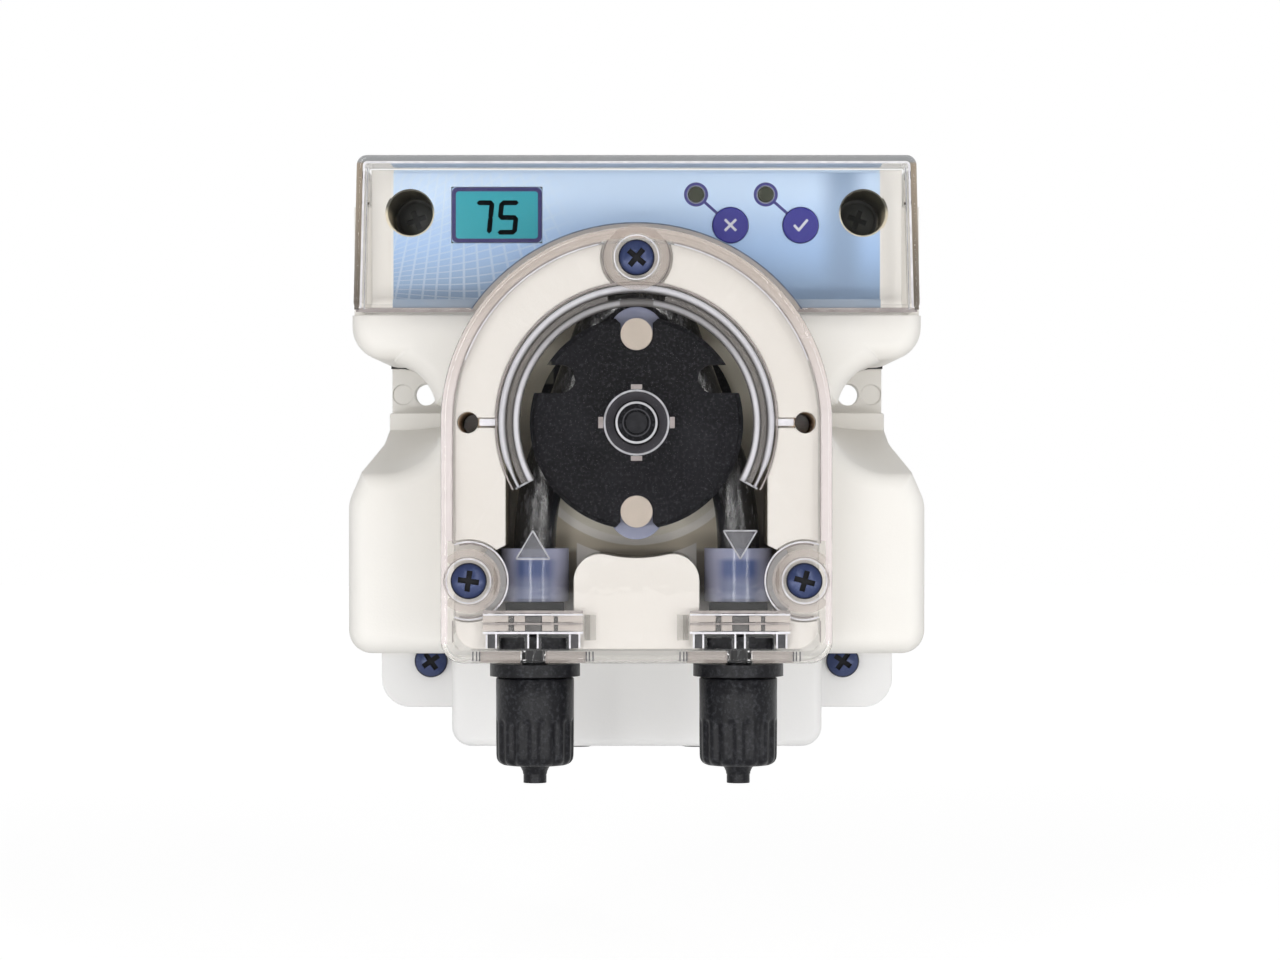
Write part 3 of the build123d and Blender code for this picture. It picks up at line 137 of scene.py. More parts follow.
def make_room():
    """White backdrop, and a plain soft light for the surfaces. Gloss and clear plastic see the white
    backdrop too, but a dim room on the near side, so that flat clear walls don't turn milky."""
    near_side, far_side = -0.9, -0.3
    world = bpy.data.worlds.new("white_room")
    bpy.context.scene.world = world
    world.use_nodes = True
    tree = world.node_tree
    tree.nodes.clear()
    toward = {"Vector": add(tree, "ShaderNodeTexCoord", out="Generated")}
    away = add(tree, "ShaderNodeSeparateXYZ", None, toward, "Y")
    seen = away.step(near_side, far_side) * (1.0 - dim_side) + dim_side
    level = looks(tree, "Glossy", "Transmission") * (seen - room_light) + room_light
    level = looks(tree, "Camera") * (1 - level) + level
    light = add(tree, "ShaderNodeBackground", None, {"Color": (1, 1, 1, 1), "Strength": level})
    output = tree.nodes.new("ShaderNodeOutputWorld")
    tree.links.new(light.socket, output.inputs["Surface"])


def make_lamp(name, place, wide, high, watts):
    """A soft lamp that faces the pump head."""
    lamp = bpy.data.lights.new(name, "AREA")
    lamp.shape = "RECTANGLE"
    lamp.energy = watts
    lamp.size, lamp.size_y = wide, high
    holder = bpy.data.objects.new(name, lamp)
    bpy.context.scene.collection.objects.link(holder)
    holder.location = place
    aim = lamp_aim - holder.location
    holder.rotation_euler = aim.to_track_quat("-Z", "Y").to_euler()


def make_floor():
    """White floor below the hose nozzles. It takes the soft shadow of the pump, and glows a little more
    further out."""
    near, far = 0.25, 1.2
    height = cad_low.z - floor_drop
    mesh = bpy.data.meshes.new("floor")
    corners = [(x * floor_half, y * floor_half, height) for x, y in ((-1, -1), (1, -1), (1, 1), (-1, 1))]
    mesh.from_pydata(corners, [], [(0, 1, 2, 3)])
    floor = bpy.data.objects.new("floor", mesh)
    bpy.context.scene.collection.objects.link(floor)
    material = bpy.data.materials.new("pale_floor")
    material.use_nodes = True
    tree = material.node_tree
    tree.nodes.clear()
    matt = add(tree, "ShaderNodeBsdfDiffuse", None, {"Color": (0.9, 0.9, 0.9, 1)})
    point = {0: add(tree, "ShaderNodeTexCoord", out="Object")}
    away = add(tree, "ShaderNodeVectorMath", {"operation": "LENGTH"}, point, out="Value")
    level = away.step(near, far) * (floor_glow - floor_near) + floor_near
    glow = add(tree, "ShaderNodeEmission", None, {"Color": (1, 1, 1, 1), "Strength": level})
    share = looks(tree, "Camera", "Glossy", "Transmission") * floor_share
    surface = add(tree, "ShaderNodeMixShader", None, {0: share, 1: matt, 2: glow})
    output = tree.nodes.new("ShaderNodeOutputMaterial")
    tree.links.new(surface.socket, output.inputs["Surface"])
    mesh.materials.append(material)


camera = bpy.data.objects.new("camera", bpy.data.cameras.new("camera"))
bpy.context.scene.collection.objects.link(camera)
bpy.context.scene.camera = camera
camera.location = camera_place
camera.rotation_euler = (radians(90), 0, 0)
camera.data.lens = camera_lens
camera.data.clip_start = 0.01
bpy.context.scene.view_settings.view_transform = "Standard"
make_room()
make_floor()
make_lamp("left_lamp", (-0.24, -1.0, 0.25), wide=0.12, high=0.7, watts=1.7)
make_lamp("right_lamp", (0.47, -0.92, 0.25), wide=0.13, high=0.7, watts=1.4)
make_lamp("low_card", (0.0, -0.46, -0.105), wide=0.9, high=0.06, watts=1.25)


# -------------------- housings
# The back tray, the deep front shell and the pump head body are moulded in ivory ABS with a fine, even
# grain. Painted shade darkens the rotor chamber and the tube channels, and the deep screw wells and side
# holes. Painted light brightens the wiring box under the head.
mm = 0.001
ivory = (0.86, 0.84, 0.80)
case_screw_x, case_screw_z = 44.2, 41.4
side_hole_x = 31.6
top_screw_z = 31.0
label_blue = (0.66, 0.80, 0.95)


class Finish:
    """A material being built on Object coordinates. Its methods add nodes and return values."""

    def __init__(self, name):
        self.material = bpy.data.materials.new(name)
        self.material.use_nodes = True
        self.tree = self.material.node_tree
        self.tree.nodes.clear()
        self.place = self.add("ShaderNodeTexCoord", out="Object")

    def add(self, kind, settings=None, sockets=None, out=0):
        return add(self.tree, kind, settings, sockets, out)

    def axes(self):
        """X, Y and Z of the point, each as a value in metres."""
        split = self.add("ShaderNodeSeparateXYZ", None, {"Vector": self.place})
        return [Flow(output) for output in split.socket.node.outputs]

    def here(self):
        """X, depth from the wall and Z of the point, in millimetres."""
        x, y, z = self.axes()
        return x * 1000.0, y * -1000.0, z * 1000.0

    def noise(self, per_metre, detail=2.0, rough=0.5, place=None):
        sockets = {"Vector": place or self.place, "Scale": per_metre, "Detail": detail}
        return self.add("ShaderNodeTexNoise", None, sockets | {"Roughness": rough})

    def drawn_out(self, stretch):
        """A place for noise that a stretch below 1 draws out along Z, and one above 1 squeezes."""
        sockets = {"Vector": self.place, "Scale": (1.0, 1.0, stretch)}
        return self.add("ShaderNodeMapping", None, sockets)

    def mix(self, share, first, second, way="MIX"):
        """Colours mixed by a share, or multiplied."""
        settings = {"data_type": "RGBA", "blend_type": way}
        sockets = {0: share, 6: opaque(first), 7: opaque(second)}
        return self.add("ShaderNodeMix", settings, sockets, out=2)

    def soft_edges(self, radius):
        """Normal that rounds every edge a little."""
        return self.add("ShaderNodeBevel", {"samples": 4}, {"Radius": radius})

    def bump(self, height, distance, normal=None):
        sockets = {"Height": height, "Distance": distance, "Strength": 1.0}
        if normal:
            sockets["Normal"] = normal
        return self.add("ShaderNodeBump", None, sockets)

    def surface(self, **values):
        """The Principled shader, with short names for its sockets."""
        names = {"colour": "Base Color", "rough": "Roughness", "metal": "Metallic", "normal": "Normal",
                 "coat": "Coat Weight", "coat_rough": "Coat Roughness", "clear": "Transmission Weight",
                 "bend": "IOR", "gloss": "Specular IOR Level", "alpha": "Alpha"}
        sockets = {names[key]: opaque(value) for key, value in values.items()}
        return self.add("ShaderNodeBsdfPrincipled", None, sockets)

    def done(self, shader):
        output = self.tree.nodes.new("ShaderNodeOutputMaterial")
        self.tree.links.new(shader.socket, output.inputs["Surface"])
        return self.material

    def painted(self, **values):
        """The finished material, with the Principled shader."""
        return self.done(self.surface(**values))


def opaque(value):
    """A colour of three numbers with full alpha. Anything else is left as it is."""
    return (*value, 1.0) if isinstance(value, tuple) and len(value) == 3 else value


def distance(x, z, centre_x=0.0, centre_z=0.0):
    """How far a point lies from an axis that runs from front to back."""
    across = x - centre_x if centre_x else x
    up = z - centre_z if centre_z else z
    return (across * across + up * up) ** 0.5


def coat_nodes(material, *names):
    """Gives CAD pieces their material."""
    for name in names:
        mesh = nodes[name].data
        mesh.materials.clear()
        mesh.materials.append(material)


def ivory_plastic():
    """Ivory ABS: a faint warm mottle, a spark-eroded grain and slightly uneven gloss. Painted light and
    shade, and a strip of the label's blue, are laid on by place. Each mask is 1 on its own patch and falls
    to 0 over a short ramp, in millimetres."""
    finish = Finish("ivory_plastic")
    x, depth, z = finish.here()
    aside, away = abs(x), distance(x, z)
    cloud = finish.noise(28.0, 3.0)
    colour = finish.mix(cloud.step(0.35, 0.7), ivory, (0.84, 0.815, 0.77))
    # Painted light: the wiring box under the head is painted paler than the shell, against the head's
    # shade.
    box_painted_light = z.step(-45.0, -48.0) * depth.step(45.0, 44.0) * depth.step(11.0, 14.0)
    colour = finish.mix(box_painted_light, colour, (0.93, 0.925, 0.92))

    # Painted shade in the rotor chamber above and at its foot, a pale band of painted light at the edge
    # of its race, and deep painted shade in the tube channels.
    dust_and_shade = finish.mix(finish.noise(160.0, 3.0), (0.78, 0.75, 0.62), (0.84, 0.81, 0.70))
    dust_and_shade = finish.mix(z.step(6.0, -2.0), dust_and_shade, (0.50, 0.475, 0.39))
    foot = z.step(-10.0, -17.0) * aside.step(17.5, 16.5)
    dust_and_shade = finish.mix(foot, dust_and_shade, (0.80, 0.775, 0.66))
    dust_and_shade = finish.mix(foot * away.step(21.6, 22.0), dust_and_shade, (0.90, 0.88, 0.82))
    dust_and_shade = finish.mix(foot * away.step(23.2, 23.5), dust_and_shade, (0.66, 0.60, 0.47))
    dust_and_shade = finish.mix(aside.step(16.5, 18.0) * z.step(-8.0, -12.0), dust_and_shade, (0.24, 0.21, 0.155))
    dust_and_shade = finish.mix(z.step(-23.5, -25.0), dust_and_shade, (0.26, 0.23, 0.18))
    chamber = away.step(25.7, 25.5)
    channels = aside.step(11.4, 11.7) * aside.step(27.0, 26.8) * z.step(0.0, -1.0)
    hollow = chamber.math("MAXIMUM", channels)
    hollow = hollow * depth.step(85.7, 84.0) * depth.step(62.1, 62.2) * z.step(-36.0, -33.0)
    colour = finish.mix(hollow, colour, dust_and_shade)
    # The pump head body is painted a little darker and pinker than the shell: partly its own tone, partly
    # painted shade.
    head = finish.mix(1.0, colour, (0.91, 0.895, 0.89), "MULTIPLY")
    colour = finish.mix(depth.step(62.2, 62.5), colour, head)

    # The two deep screw wells in painted light and shade: dark above, warm below, and grey on their
    # floors.
    well = distance(aside, z, case_screw_x, case_screw_z)
    wall = finish.mix(depth.step(38.0, 50.0), (0.40, 0.37, 0.29), (0.80, 0.72, 0.55))
    wall = finish.mix(z.step(41.0, 43.0), wall, (0.09, 0.085, 0.065))
    deep = finish.mix(well.step(4.0, 4.25), (0.22, 0.225, 0.22), wall)
    in_well = well.step(4.95, 4.85) * depth.step(58.2, 58.1) * depth.step(35.0, 35.5)
    colour = finish.mix(in_well, colour, deep)

    # The two deep holes beside the guard, painted in shade with warm walls, and the strip of blue above
    # the label.
    hole = distance(aside, z, side_hole_x)
    brown = finish.mix(hole.step(1.5, 1.9), (0.10, 0.07, 0.05), (0.75, 0.62, 0.48))
    in_hole = hole.step(2.4, 2.3) * depth.step(86.0, 85.7) * depth.step(62.0, 62.3)
    colour = finish.mix(in_hole, colour, brown)
    over_label = z.step(49.05, 49.15) * z.step(51.6, 51.5)
    over_label = over_label * aside.step(47.5, 47.4) * depth.step(57.6, 57.8)
    colour = finish.mix(over_label, colour, label_blue)

    grain = finish.noise(2600.0, 2.0, 0.6)
    rough = 0.44 + 0.1 * finish.noise(90.0, 2.0)
    normal = finish.bump(grain, 0.00002, finish.soft_edges(0.0004))
    return finish.painted(colour=colour, rough=rough, normal=normal)


def plain(name, noise, first, second, grain=None, edges=None, **values):
    """Two colours in a fine noise. The grain is its noise's scale and its height, and edges a radius."""
    finish = Finish(name)
    values["colour"] = finish.mix(finish.noise(*noise), first, second)
    normal = finish.soft_edges(edges) if edges else None
    if grain:
        normal = finish.bump(finish.noise(grain[0]), grain[1], normal)
    if normal:
        values["normal"] = normal
    return finish.painted(**values)


coat_nodes(ivory_plastic(), "rear_housing", "front_housing", "pump_head_body")


# -------------------- seals
# Flat housing seal, shaft seal and cable grommets, all moulded in black EPDM. It is dry to the touch,
# with a dusty bloom in patches.
def black_rubber():
    """Rubber: dark with a pale bloom in patches and a leathery fine bump."""
    finish = Finish("seal_rubber")
    bloom = finish.noise(140.0, 4.0, 0.65).step(0.45, 0.75)
    colour = finish.mix(bloom * 0.5, (0.012, 0.012, 0.013), (0.05, 0.05, 0.048))
    normal = finish.bump(finish.noise(1500.0, 3.0), 0.00003, finish.soft_edges(0.0002))
    return finish.painted(colour=colour, rough=0.55 + 0.15 * bloom, normal=normal)


coat_nodes(black_rubber(), "housing_gasket", "shaft_seal", "cable_grommets")


# -------------------- case and head screws
# Cross-recess pan head screws, passivated blue-black. The turned heads are satin, with painted shade
# in the recesses and at their rims.
# The case screws lie deep in the two wells and are grey with dust.
def blued_steel(node, near_x, near_z, dust_and_shade=0.0):
    """Blued steel for one set of screws, whose axes lie at plus and minus near_x. Painted shade makes what
    is near an axis and well below the crown, in the cross recesses, almost black. Dust greys the rest."""
    finish = Finish("blued_" + node)
    x, depth, z = finish.here()
    crown = -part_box(node)[0].y / mm
    away = distance(abs(x), z, near_x, near_z)
    if node == "head_screws":
        away = away.math("MINIMUM", distance(x, z, 0.0, top_screw_z))
    recess_shade = away.step(2.25, 2.1) * depth.step(crown - 0.36, crown - 0.5)
    wear = finish.noise(700.0, 4.0, 0.6).step(0.5, 0.8)
    colour = finish.mix(wear, (0.022, 0.038, 0.12), (0.06, 0.09, 0.20))
    # Painted shade: the rim of each head, where the counterbore lies in shadow, is almost black.
    colour = finish.mix(away.step(2.9, 3.35), colour, (0.006, 0.008, 0.02))
    colour = finish.mix(dust_and_shade, colour, (0.40, 0.42, 0.42))
    colour = finish.mix(recess_shade * (1 - dust_and_shade * 0.7), colour, (0.003, 0.003, 0.006))
    rough = 0.34 + 0.12 * wear + 0.3 * recess_shade
    normal = finish.bump(finish.noise(3000.0, 2.0), 0.000008, finish.soft_edges(0.00018))
    return finish.painted(colour=colour, rough=rough, metal=0.3, normal=normal, coat=0.3 * (1 - recess_shade),
                          coat_rough=0.25)


pad_x, pad_z = 31.5, -29.7  # the two lower head screws, and the cover's pads round them
foot_screw_x, foot_screw_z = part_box("foot_screws")[1].x / mm - 3.4, -48.2
coat_nodes(blued_steel("head_screws", pad_x, pad_z), "head_screws")
coat_nodes(blued_steel("foot_screws", foot_screw_x, foot_screw_z), "foot_screws")
coat_nodes(blued_steel("case_screws", case_screw_x, case_screw_z, 0.85), "case_screws")


# -------------------- control label
# Thin printed film glued to the panel, pale blue, with bare ivory ends. Fans of thin white lines cross its
# left half, and a ring and a line in deep blue join each status lamp to its key. Sizes in metres.
lamp_places = [(0.0116, 0.045), (0.0252, 0.045)]
key_places = [(0.0183, 0.039), (0.032, 0.039)]
ring_outside, ring_inside = 0.0024, 0.0018
print_blue = (0.04, 0.038, 0.22)


def printed_film():
    finish = Finish("label_film")
    x, _, z = finish.axes()
    # Painted shade: the blue darkens towards the bottom, and in a band near the right end.
    colour = finish.mix(z.step(0.022, 0.036), (0.21, 0.30, 0.44), (0.385, 0.57, 0.87))
    colour = finish.mix(z.step(0.033, 0.049), colour, (0.64, 0.80, 1.0))
    shade = x.step(0.034, 0.040) * x.step(0.046, 0.041)
    colour = finish.mix(shade * 0.8, colour, (0.24, 0.34, 0.50))

    # Two fans of wavy lines that cross, and fade to the right.
    fans = []
    for centre_x, centre_z, count in ((-0.066, 0.026, 74.0), (-0.034, 0.081, 60.0)):
        fan = (z - centre_z).math("ARCTAN2", x - centre_x) * (count / pi) + (x * 140.0).math("SINE") * 0.4
        fans.append(abs(fan.math("FRACT") - 0.5).step(0.13, 0.03))
    lines = fans[0].math("MAXIMUM", fans[1])
    left = x.step(-0.010, -0.022) * (0.35 + 0.65 * finish.noise(90.0, 2.0))
    colour = finish.mix(lines * left * 0.42, colour, (0.80, 0.87, 0.90))

    # A ring round each lamp, and a line from it to the key.
    for (lx, lz), (kx, kz) in zip(lamp_places, key_places):
        away = distance(x, z, lx, lz)
        colour = finish.mix(away.step(ring_outside, 0.0023), colour, print_blue)
        colour = finish.mix(away.step(0.00185, ring_inside), colour, (0.24, 0.25, 0.34))
        ring = away.step(ring_outside, 0.00225) * away.step(ring_inside, 0.00185)
        length = ((kx - lx) ** 2 + (kz - lz) ** 2) ** 0.5
        ux, uz = (kx - lx) / length, (kz - lz) / length
        along = (x - lx) * ux + (z - lz) * uz
        aside = abs((x - lx) * uz - (z - lz) * ux)
        link = aside.step(0.00033, 0.00024) * along.step(ring_inside, 0.0019)
        link = link * along.step(length, length - 0.0001)
        colour = finish.mix(ring.math("MAXIMUM", link), colour, print_blue)

    # The bare ends, and the taupe edge that follows the pump head.
    colour = finish.mix(abs(x).step(0.0474, 0.0476), colour, ivory)
    colour = finish.mix(distance(x, z).step(0.0377, 0.0375), colour, (0.62, 0.58, 0.56))
    normal = finish.bump(finish.noise(900.0, 2.0), 0.00001)
    return finish.painted(colour=colour, rough=0.38, coat=0.25, coat_rough=0.2, normal=normal)


coat_nodes(printed_film(), "control_label")


# -------------------- display
# Liquid crystal display with a blue-green backlight in a dark violet frame. Its two figures are the dark
# segments of the glass.
lcd_low, lcd_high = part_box("lcd_display")


def display_glass():
    """The frame and the lit glass are two oblongs with round corners, one inset in the other."""
    finish = Finish("lcd")
    x, _, z = finish.axes()
    half = (lcd_high - lcd_low) / 2
    middle = (lcd_high + lcd_low) / 2
    soft = 0.00008
    shapes = []
    for inset, bend in ((0.0, 0.0011), (0.0008, 0.0006)):
        over_x = (abs(x - middle.x) - (half.x - inset - bend)).math("MAXIMUM", 0.0)
        over_z = (abs(z - middle.z) - (half.z - inset - bend)).math("MAXIMUM", 0.0)
        shapes.append(distance(over_x, over_z).step(bend + soft, bend - soft))
    frame_shape, inside = shapes
    # Painted light: the blue-green of the lit glass stands for its backlight's glow; it gives no light.
    glow = finish.noise(60.0, 1.0)
    lit = finish.mix(glow, (0.008, 0.32, 0.40), (0.014, 0.38, 0.45))
    colour = finish.mix(inside, (0.028, 0.02, 0.13), lit)
    colour = finish.mix(frame_shape, (0.46, 0.62, 0.84), colour)
    return finish.painted(colour=colour, rough=0.3, coat=0.4, coat_rough=0.1)


coat_nodes(display_glass(), "lcd_display")


def add_piece(name, vertices, faces, material, body, smooth=True):
    """A new piece from its vertices and faces, in metres, riding on a body."""
    mesh = bpy.data.meshes.new(name)
    mesh.from_pydata(np.asarray(vertices, float).tolist(), [], [list(map(int, face)) for face in faces])
    mesh.validate()
    mesh.materials.append(material)
    if smooth:
        mesh.polygons.foreach_set("use_smooth", np.ones(len(mesh.polygons), bool))
    piece = bpy.data.objects.new(name, mesh)
    bpy.context.scene.collection.objects.link(piece)
    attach(piece, body)
    return piece


def prism(outline, back, front):
    """A flat outline of (x, z) points, seen from the front, made into a thin plate between two depths."""
    outline = np.asarray(outline, float)
    count = len(outline)
    rear = np.column_stack([outline[:, 0], np.full(count, -back), outline[:, 1]])
    face = np.column_stack([outline[:, 0], np.full(count, -front), outline[:, 1]])
    ring = np.arange(count)
    after = (ring + 1) % count
    sides = np.column_stack([ring, after, after + count, ring + count])
    faces = [list(ring[::-1]), list(ring + count)] + sides.tolist()
    return np.vstack([rear, face]), faces


def together(parts):
    """Several (vertices, faces) shapes as one."""
    points, faces, start = [], [], 0
    for part_points, part_faces in parts:
        points.append(part_points)
        faces += [[index + start for index in face] for face in part_faces]
        start += len(part_points)
    return np.vstack(points), faces


def segment(x, z, along, across, lying, lean):
    """One bar of a figure: a long six-sided plate with pointed ends, sheared by the figure's lean."""
    half, tip = along / 2, across / 2
    flat = np.array([(-half, 0), (-half + tip, -tip), (half - tip, -tip), (half, 0), (half - tip, tip),
                     (-half + tip, tip)])
    if not lying:
        flat = flat[:, ::-1] * (1, -1)
    flat = flat + (x, z)
    return flat + np.column_stack([flat[:, 1] * lean, np.zeros(len(flat))])


def figure(lit, x, z, wide, high, thick, lean):
    """A seven-segment figure: a is the top bar, then clockwise to f, and g is the middle bar."""
    gap, tips = thick * 0.12, thick * 0.72
    long, tall = wide - thick - gap, (high - thick) / 2 - gap
    side, quarter = (wide - thick) / 2, (high - thick) / 4
    bars = {"a": (0, 2 * quarter, True), "b": (side, quarter, False), "c": (side, -quarter, False),
            "d": (0, -2 * quarter, True), "e": (-side, -quarter, False), "f": (-side, quarter, False),
            "g": (0, 0, True)}
    plates = []
    for name in lit:
        dx, dz, lying = bars[name]
        flat = segment(dx, dz, (long if lying else tall) + tips, thick, lying, lean)
        plates.append(flat + (x, z))
    return plates


lcd_face = -lcd_low.y
figures_z, figure_high, bar_thick, lean = 0.0405, 0.0067, 0.00095, 0.10
digits = [*figure("abc", -0.0299, figures_z, 0.0037, figure_high, bar_thick, lean),
          *figure("afgcd", -0.0251, figures_z, 0.0040, figure_high, bar_thick, lean)]
plates = [prism(flat, lcd_face - 0.00005, lcd_face + 0.00004) for flat in digits]
segment_black = plain("segment_black", (400.0,), (0.0005, 0.002, 0.003), (0.001, 0.003, 0.004),
                      rough=0.6, gloss=0.04)
piece = add_piece("display_figures", *together(plates), segment_black, "root", smooth=False)


# -------------------- status lamps and keys
# Two unlit lamps behind olive lenses, and two deep blue keys. A tick and a cross are printed on the keys
# in white.
lamp_lens = plain("led_lens", (500.0,), (0.035, 0.042, 0.028), (0.06, 0.065, 0.042),
                  rough=0.3, coat=0.3, coat_rough=0.1)
key_plastic = plain("key_plastic", (600.0, 3.0), (0.027, 0.025, 0.25), (0.04, 0.037, 0.30),
                    grain=(2500.0, 0.00001), rough=0.36)
key_print = plain("key_print", (900.0,), (0.62, 0.64, 0.72), (0.72, 0.74, 0.80), rough=0.5)
coat_nodes(lamp_lens, "status_leds")
coat_nodes(key_plastic, "esc_key", "ok_key")


def stroke(start, end, wide):
    """A straight bar between two (x, z) points."""
    start, end = np.array(start), np.array(end)
    along = (end - start) / np.linalg.norm(end - start)
    aside = np.array([-along[1], along[0]]) * wide / 2
    return np.array([start - aside, end - aside, end + aside, start + aside])


key_face = -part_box("esc_key")[0].y
pen = 0.5
cross = [stroke((-1.1, -1.1), (1.1, 1.1), pen), stroke((-1.1, 1.1), (1.1, -1.1), pen)]
tick = [stroke((-1.3, 0.0), (-0.35, -1.05), pen), stroke((-0.5, -1.15), (1.35, 1.05), pen)]
for name, body, shape, (kx, kz) in (("esc_mark", "esc_button", cross, key_places[0]),
                                    ("ok_mark", "ok_button", tick, key_places[1])):
    parts = [prism(flat * mm + (kx, kz), key_face - 0.00005, key_face + 0.00003 + 0.00002 * number)
             for number, flat in enumerate(shape)]
    piece = add_piece(name, *together(parts), key_print, body, smooth=False)


# -------------------- circuit boards
# Green glass-fibre boards with a grid of tracks. Their switches, transformer, capacitor and terminals are
# in black mouldings, and so is the motor's end cap.
def circuit_board():
    finish = Finish("board")
    x, _, z = finish.axes()
    pitch = 900.0
    tracks = (x * pitch).math("SINE") * (z * pitch).math("SINE")
    colour = finish.mix(tracks.step(0.2, 0.5), (0.012, 0.09, 0.03), (0.02, 0.16, 0.055))
    return finish.painted(colour=colour, rough=0.35, normal=finish.bump(tracks, 0.00003))


black_moulding = plain("component_plastic", (500.0,), (0.014, 0.014, 0.016), (0.028, 0.028, 0.03),
                       grain=(1800.0, 0.00002), edges=0.0002, rough=0.5)
coat_nodes(circuit_board(), "control_board", "power_board")
coat_nodes(black_moulding, "key_switches", "transformer", "capacitor", "terminal_block", "motor_end_cap")


# -------------------- clear lid and head cover
# The hinged panel lid and the pump head cover are moulded in clear polycarbonate. Light from lamps and
# matt surfaces goes straight through, so that what lies behind the plastic is as bright as the rest.
def clear_plastic():
    finish = Finish("clear_plastic")
    normal = finish.bump(finish.noise(260.0, 2.0), 0.000006)
    solid = finish.surface(colour=(1.0, 0.995, 0.99), rough=0.02, clear=1.0, bend=1.46, normal=normal)
    open_air = finish.add("ShaderNodeBsdfTransparent", None, {"Color": (0.985, 0.98, 0.975, 1)})
    for ray in ("Diffuse", "Shadow"):
        share = finish.add("ShaderNodeLightPath", out=f"Is {ray} Ray")
        solid = finish.add("ShaderNodeMixShader", None, {0: share, 1: solid, 2: open_air})
    return finish.done(solid)


coat_nodes(clear_plastic(), "panel_lid", "head_cover")


# -------------------- light in the head cover's edges
# Light runs along inside clear plastic and leaves it at moulded edges: white on the guard over the tube,
# on the hub and on the windows, brown and grey in the corners behind them. Thin inlays carry that light.
# They lie just below the surface of the cover's own plastic.
def carry(profile, path, closed=False, widths=None):
    """A closed profile of (aside, depth) points carried along a flat path of (x, z) points, all in
    millimetres. A point of the surface is the path's point, plus its profile point's first number times
    the path's normal there, at the depth that the second number says."""
    path, profile = np.asarray(path, float), np.asarray(profile, float)
    edges = profile - np.roll(profile, 1, 0)
    area = (profile[:, 0] * edges[:, 1] - profile[:, 1] * edges[:, 0]).sum()
    profile = profile if area > 0 else profile[::-1]
    along = np.roll(path, -1, 0) - np.roll(path, 1, 0) if closed else np.gradient(path, axis=0)
    along /= np.linalg.norm(along, axis=1, keepdims=True)
    aside = np.column_stack([-along[:, 1], along[:, 0]])
    widths = np.ones(len(path)) if widths is None else np.asarray(widths)
    flat = path[:, None] + aside[:, None] * (profile[None, :, 0] * widths[:, None])[..., None]
    depth = np.broadcast_to(-profile[:, 1], flat.shape[:2])
    points = np.dstack([flat[..., 0], depth, flat[..., 1]]).reshape(-1, 3) * mm
    rows, count = len(path), len(profile)
    index = np.arange(rows * count).reshape(rows, count)
    after = np.roll(index, -1, 1)
    if closed:
        quads = np.dstack([index, after, np.roll(after, -1, 0), np.roll(index, -1, 0)]).reshape(-1, 4)
        return points, quads.tolist()
    quads = np.dstack([index[:-1], after[:-1], after[1:], index[1:]]).reshape(-1, 4)
    return points, quads.tolist() + [index[0, ::-1].tolist(), index[-1].tolist()]


def bead(wide, thick, depth):
    """An oval profile: wide and thick are its whole sizes."""
    turn = np.linspace(0, 2 * pi, 12, endpoint=False)
    return np.column_stack([np.cos(turn) * wide / 2, depth + np.sin(turn) * thick / 2])


def strip(wide, thick, depth, aside=0.0):
    """A flat oblong profile."""
    corners = np.array([(-1, -1), (1, -1), (1, 1), (-1, 1)]) / 2
    return corners * (wide, thick) + (aside, depth)


def arc(radius, start, end, x=0.0, z=0.0):
    """Points every 3 degrees or so on a circle, from one angle to another, with 0 to the right."""
    turn = np.radians(np.linspace(start, end, max(int(abs(end - start) / 3), 2) + 1))
    return np.column_stack([x + np.cos(turn) * radius, z + np.sin(turn) * radius])


def hoop(wide, thick, depth, radius, x=0.0, z=0.0):
    """A flat strip round a whole circle."""
    return carry(strip(wide, thick, depth), arc(radius, 0, 360, x, z)[:-1], closed=True)


def bar(wide, thick, depth, start, end):
    """A flat strip from one (x, z) point to another."""
    return carry(strip(wide, thick, depth), [start, end])


def mirrored(path):
    """The same path on the other side of the middle, run the other way."""
    return np.asarray(path)[::-1] * (-1, 1)


def guard_light():
    """Light in the two beads of the guard: bright along the middle of each, brown-grey beside it. The
    inner bead fades towards the top, and goes out between its two ribs there."""
    finish = Finish("guard_light")
    x, _, z = finish.here()
    away = distance(x, z)
    streaks = finish.noise(500.0, 3.0, 0.6)
    outer = away.step(24.55, 25.35) * away.step(26.05, 25.8)
    inner = away.step(21.95, 22.55) * away.step(23.35, 22.85) * (1 - 0.62 * z.step(2.0, 20.0))
    inner = inner * (1 - 0.9 * abs(x).step(3.3, 3.0) * z.step(15.0, 16.0))
    bright = outer.math("MAXIMUM", inner) * (0.86 + 0.28 * streaks)
    colour = finish.mix(bright, (0.085, 0.08, 0.078), (0.60, 0.595, 0.635))
    return finish.painted(colour=colour, rough=0.4)


def light_in_plastic(name, first, second):
    """A streaky colour on a straight edge: painted light when pale, painted shade when dark."""
    finish = Finish(name)
    streaks = finish.noise(420.0, 3.0, 0.6)
    colour = finish.mix(streaks.step(0.3, 0.7), first, second)
    return finish.painted(colour=colour, rough=0.45)


def tint_in_plastic(name, first, second, alpha, low=-45.0, high=36.0):
    """A thin film of colour in the clear plastic, shaded from a lower to an upper height."""
    finish = Finish(name)
    _, _, z = finish.here()
    colour = finish.mix(z.step(low, high), first, second)
    colour = finish.mix(finish.noise(260.0, 3.0) * 0.3, colour, (0.5, 0.48, 0.47))
    return finish.painted(colour=colour, rough=0.5, alpha=alpha)


def inlay(name, shapes, material, body="root"):
    """One piece of thin shapes in the clear plastic."""
    piece = add_piece(name, *together(shapes), material, body, smooth=False)


